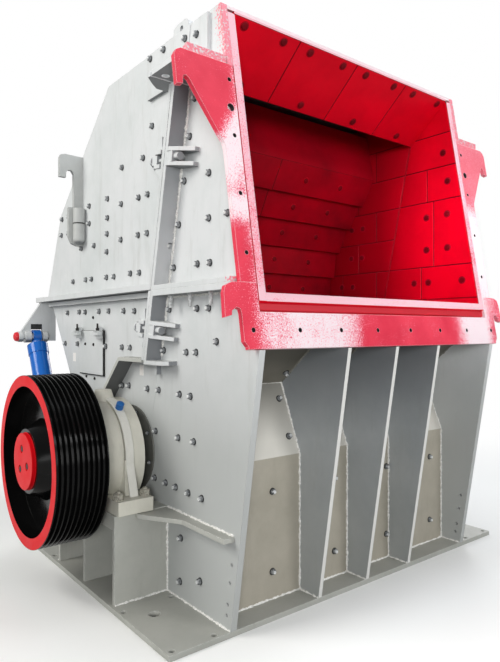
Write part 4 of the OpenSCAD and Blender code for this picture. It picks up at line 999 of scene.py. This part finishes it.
def turned_piece(title, body, profile, centre, axis, finish, steps=64):
    """A closed ring or cap: profile is (distance along the axis, radius) points."""
    axis = Vector(axis).normalized()
    side = axis.orthogonal().normalized()
    other = axis.cross(side)
    shape = bmesh.new()
    skin_rings(shape, [[
        shape.verts.new(Vector(centre) + axis * along + radius * (
            side * math.cos(2 * math.pi * i / steps) + other * math.sin(2 * math.pi * i / steps)))
        for i in range(steps)] for along, radius in profile])
    bmesh.ops.remove_doubles(shape, verts=shape.verts, dist=1e-6)
    bmesh.ops.recalc_face_normals(shape, faces=shape.faces)
    return fit(title, body, drawn(title, shape, finish))


# the red band on the rim's outer face
turned_piece("rim_band", "rotor",
             [(0, RIM_IN), (0, RIM_OUT), (0.0008, RIM_OUT), (0.0008, RIM_IN)],
             (PULLEY_FACE - 0.0004, 0, AXIS_Z), (1, 0, 0), hub_red, 128)

# the hub stands in for its CAD node, with counterbores that sink its bolts flush
COVER_X, BOLT_SEAT_X, BORE_RADIUS, BORE_DEPTH = -1.8557, -1.8425, 0.0255, 0.0200
HUB_BOLTS = [(-y, z) for y, z in around(0.076, (106, 226, 346))]
hub = turned_piece("taper_hub", "rotor", [
    (0, 0), (0, 0.170), (0.002, 0.172), (0.0237, 0.172), (0.0238, 0.1747),
    (0.2847, 0.1747), (0.2847, 0.0903), (0.0277, 0.0903), (0.0277, 0)],
    (COVER_X, 0, AXIS_Z), (1, 0, 0), hub_red, 96)
shape = bmesh.new()
for y, z in HUB_BOLTS:
    bmesh.ops.create_cone(
        shape, cap_ends=True, segments=32, radius1=BORE_RADIUS, radius2=BORE_RADIUS,
        depth=BORE_DEPTH, matrix=Matrix.Translation((BOLT_SEAT_X - BORE_DEPTH / 2, y, z))
        @ Matrix.Rotation(math.pi / 2, 4, "Y"))
counterbores = stand("counterbores", drawn("counterbores", shape))
cut = hub.modifiers.new("counterbore", "BOOLEAN")
cut.operation, cut.solver, cut.object = "DIFFERENCE", "EXACT", counterbores
bored = hub.evaluated_get(bpy.context.evaluated_depsgraph_get())
bored = bpy.data.meshes.new_from_object(bored)
hub.modifiers.clear()
hub.data = bored
bpy.data.objects.remove(counterbores)
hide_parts("pulley_hub")

# three black bolts hold the hub's cover
black_steel = bare_steel("black oxide bolt", "#120e0c", "#221c19", 0.55, 0.1)
bolt_up("hub_bolts", "rotor", [((BOLT_SEAT_X, y, z), (-1, 0, 0)) for y, z in HUB_BOLTS],
        black_steel, across_corners=0.040, nut_height=0.0086, stud_radius=0.012,
        stud_end=0.0004, washer_radius=0.0235, washer_thickness=0.0020, seed=11)


# Bearings -----------------------------------------------------------------------
# Two-part cast housings under thick cream paint, with a steel strap over the top, two
# large foot nuts on each end and a blue plastic grease fitting beside the boss.
coat(sprayed_plate("cream paint on castings", "#e2e0d3", "#d2d0c3", "#a5a196", "#e6e4da",
                   low=0.1), "bearing_housing")
foot_nut = bare_steel("painted foot nut", "#b5b2a5", "#7d7a70", 0.5, 0.1)
blue_plastic = enamel("blue plastic fitting", "#1b62a8", 0.35)
fitting_way = Vector((0, -0.556, 0.831))
for hand, title in SIDES:
    bolt_up(f"bearing_foot_nuts_{title}", "frame",
            [((hand * x, y, 0.640), (0, 0, 1)) for x in (1.425, 1.247)
             for y in (-0.412, 0.412)],
            foot_nut, across_corners=0.064, nut_height=0.030, stud_radius=0.018,
            stud_end=0.012, washer_radius=0.034, washer_thickness=0.006, seed=6)
    fitting_at = Vector((hand * 1.318, 0, AXIS_Z)) + fitting_way * 0.346
    bolt_up(f"grease_fitting_{title}", "frame", [(fitting_at, fitting_way)], blue_plastic,
            across_corners=0.050, sides=16, nut_height=0.048, stud_radius=0.010,
            stud_end=0.004, washer_radius=0.030, washer_thickness=0.008,
            washer_finish=foot_nut, seed=7)


def solid_piece(title, body, shells, finish, bevel=0.002):
    """Prisms drawn as (outline, way to push) and joined in one piece."""
    shape = bmesh.new()
    for outline, push in shells:
        low = [shape.verts.new(Vector(p)) for p in outline]
        high = [shape.verts.new(Vector(p) + Vector(push)) for p in outline]
        shape.faces.new(low)
        shape.faces.new(high[::-1])
        for i in range(len(low)):
            k = (i + 1) % len(low)
            shape.faces.new((low[k], low[i], high[i], high[k]))
    bmesh.ops.recalc_face_normals(shape, faces=shape.faces)
    if bevel:
        sharp = [e for e in shape.edges if e.calc_face_angle(0) > 0.6]
        bmesh.ops.bevel(shape, geom=sharp, offset=bevel, segments=2, affect="EDGES",
                        profile=0.5, clamp_overlap=True)
    fit(title, body, drawn(title, shape, finish))


# the shaft's seal plates close the openings in the side walls, their dark grey painted
# shade behind the bearings; a strap holds each cap
seal_plate_shade_paint = sprayed_plate("dark seal plate, painted shade", "#62635f", "#555652", "#5c5a50",
                           "#7a7a72")
strap_paint = sprayed_plate("cream paint on steel straps", "#efeee6", "#e2e1d8", "#b5b2a8",
                            "#f6f5ee")
SEAL_BOLT_X, STRAP_ANGLES = WALL_OUT + 0.011, range(100, 190, 6)
strap = around(0.351, STRAP_ANGLES) + [(-0.405, 0.641)]
strap += [(-0.420, 0.641)] + around(0.363, STRAP_ANGLES)[::-1]
for hand, title in SIDES:
    turned_piece(f"shaft_seal_{title}", "frame",
                 [(0.0, 0.118), (0.0, 0.285), (0.006, 0.287), (0.010, 0.284), (0.012, 0.150),
                  (0.020, 0.148), (0.020, 0.118)],
                 (hand * WALL_OUT, 0, AXIS_Z), (hand, 0, 0), seal_plate_shade_paint)
    bolt_up(f"shaft_seal_bolts_{title}", "frame",
            [((hand * SEAL_BOLT_X, y, z), (hand, 0, 0))
             for y, z in around(0.250, range(15, 375, 45))],
            across_corners=0.024, nut_height=0.010, stud_radius=0.007, stud_end=0.003,
            washer_radius=0.015, washer_thickness=0.002, seed=12)
    solid_piece(f"housing_strap_{title}", "frame",
                [([(hand * 1.294, y, z) for y, z in strap], (hand * 0.054, 0, 0))],
                strap_paint)


# the ears' notches are closed over the rod eyes by a dark filler, painted shade in the notch
for hand, title in SIDES:
    solid_piece(f"ear_notch_filler_{title}", "rear_frame",
                [([(hand * x, 1.630, z) for x, z in ((1.2815, 1.664), (1.1825, 1.664),
                                                     (1.1825, 1.7115), (1.2815, 1.7115))],
                  (0, 0.022, 0))], dark_washer_and_shade_steel)
    bolt_up(f"shelf_bolt_{title}", "frame",
            [((hand * 1.250, seam_y(3.128) - 0.110, 3.098), (0, 0, -1))], hanging,
            across_corners=0.052, nut_height=0.022, stud_radius=0.014, stud_end=0.014,
            washer_radius=0.034, washer_thickness=0.005, seed=14)


# Inspection doors ---------------------------------------------------------------
# The doors' rubber seals show as black lines round their edges; small black bolts hold
# the hinge strips, and two blank white tags are stuck to the wall.
rubber = bare_steel("black door rubber", "#141414", "#1d1d1c", 0.7, 0.0)
tag_white = bare_steel("blank white tag", "#f3f1ee", "#e6e2dc", 0.5, 0.0)


def patch(x, y0, y1, z0, z1, thick):
    """A rectangle on a side face, as solid_piece takes it."""
    return [(x, y0, z0), (x, y1, z0), (x, y1, z1), (x, y0, z1)], (thick, 0, 0)


DOOR_Y0, DOOR_Y1, DOOR_Z0, DOOR_Z1 = 0.475, 0.911, 1.318, 1.652
SEAL_LINES = (
    (DOOR_Y0 - 0.009, DOOR_Y0 + 0.001, DOOR_Z0 - 0.004, DOOR_Z1),
    (DOOR_Y1 - 0.001, DOOR_Y1 + 0.003, DOOR_Z0 - 0.004, DOOR_Z1),
    (DOOR_Y0 - 0.009, DOOR_Y1 + 0.003, DOOR_Z0 - 0.008, DOOR_Z0 - 0.003),
    (DOOR_Y0 - 0.009, DOOR_Y1 + 0.003, DOOR_Z1 - 0.001, DOOR_Z1 + 0.003))
for hand, title in SIDES:
    solid_piece(f"door_seal_{title}", "frame",
                [patch(hand * 1.1085, *line, hand * 0.0150) for line in SEAL_LINES],
                rubber, bevel=0.0008)
    bolt_up(f"door_bolts_{title}", "frame",
            [((hand * x, y, z), (hand, 0, 0)) for x, y, z in
             ((1.125, 0.793, 1.549), (1.125, 0.637, 1.546), (1.109, 0.807, 1.292),
              (1.109, 0.651, 1.283), (1.109, 0.679, 1.754))],
            black_steel, across_corners=0.020, nut_height=0.006, stud_radius=0.006,
            stud_end=0.001, washer_radius=0.012, washer_thickness=0.002, seed=13)
    bolt_up(f"door_toggle_bolts_{title}", "frame",
            [((hand * 1.168, y, 1.6462), (0, 0, 1)) for y in (0.470, 0.856)],
            black_steel, across_corners=0.026, nut_height=0.020, stud_radius=0.008,
            stud_end=0.034, washer_radius=0.030, washer_thickness=0.006,
            washer_finish=hanging, seed=15)
    # a thin black ring stands for the slot round the hook's boss: painted shade
    turned_piece(f"hook_boss_slot_{title}", "rear_frame",
                 [(0, 0.0452), (0, 0.0470), (0.009, 0.0470), (0.009, 0.0452)],
                 (hand * 1.155, 0.849, 2.497), (0, 0, 1), black_steel)
    solid_piece(f"blank_tags_{title}", "frame",
                [patch(hand * WALL_OUT, y, y + 0.055, z, z + 0.070, hand * 0.0012)
                 for y, z in ((1.030, 1.400), (-0.137, 1.352))],
                tag_white, bevel=0)


# Opening cylinders --------------------------------------------------------------
# Hydraulic cylinders in glossy blue enamel, with a plain grey gland ring under the rod
# eye and a red plastic cap over the pin's end.
coat(enamel("blue cylinder enamel", "#1668c4", 0.14), "cylinder_barrel", "cylinder_rod")
red_cap = enamel("red plastic cap", "#d8202c", 0.4)
gland = bare_steel("grey gland ring", "#dfe3e6", "#b3b8bc", 0.3, 0.3)
for hand, title in SIDES:
    turned_piece(f"gland_ring_{title}", f"barrel_{title}",
                 [(0, 0.0435), (0, 0.066), (0.010, 0.066), (0.012, 0.064), (0.012, 0.0435)],
                 (hand * 1.232, 1.6035, 1.5252), (0, 0.4478, 0.8941), gland)
for hand, title in SIDES:
    turned_piece(f"pin_cap_{title}", "rear_frame",
                 [(0.0, 0.0), (0.0, 0.040), (0.012, 0.041), (0.026, 0.036), (0.034, 0.022),
                  (0.036, 0.0)],
                 (hand * 1.389, 1.641, 1.600), (hand, 0, 0), red_cap, steps=32)
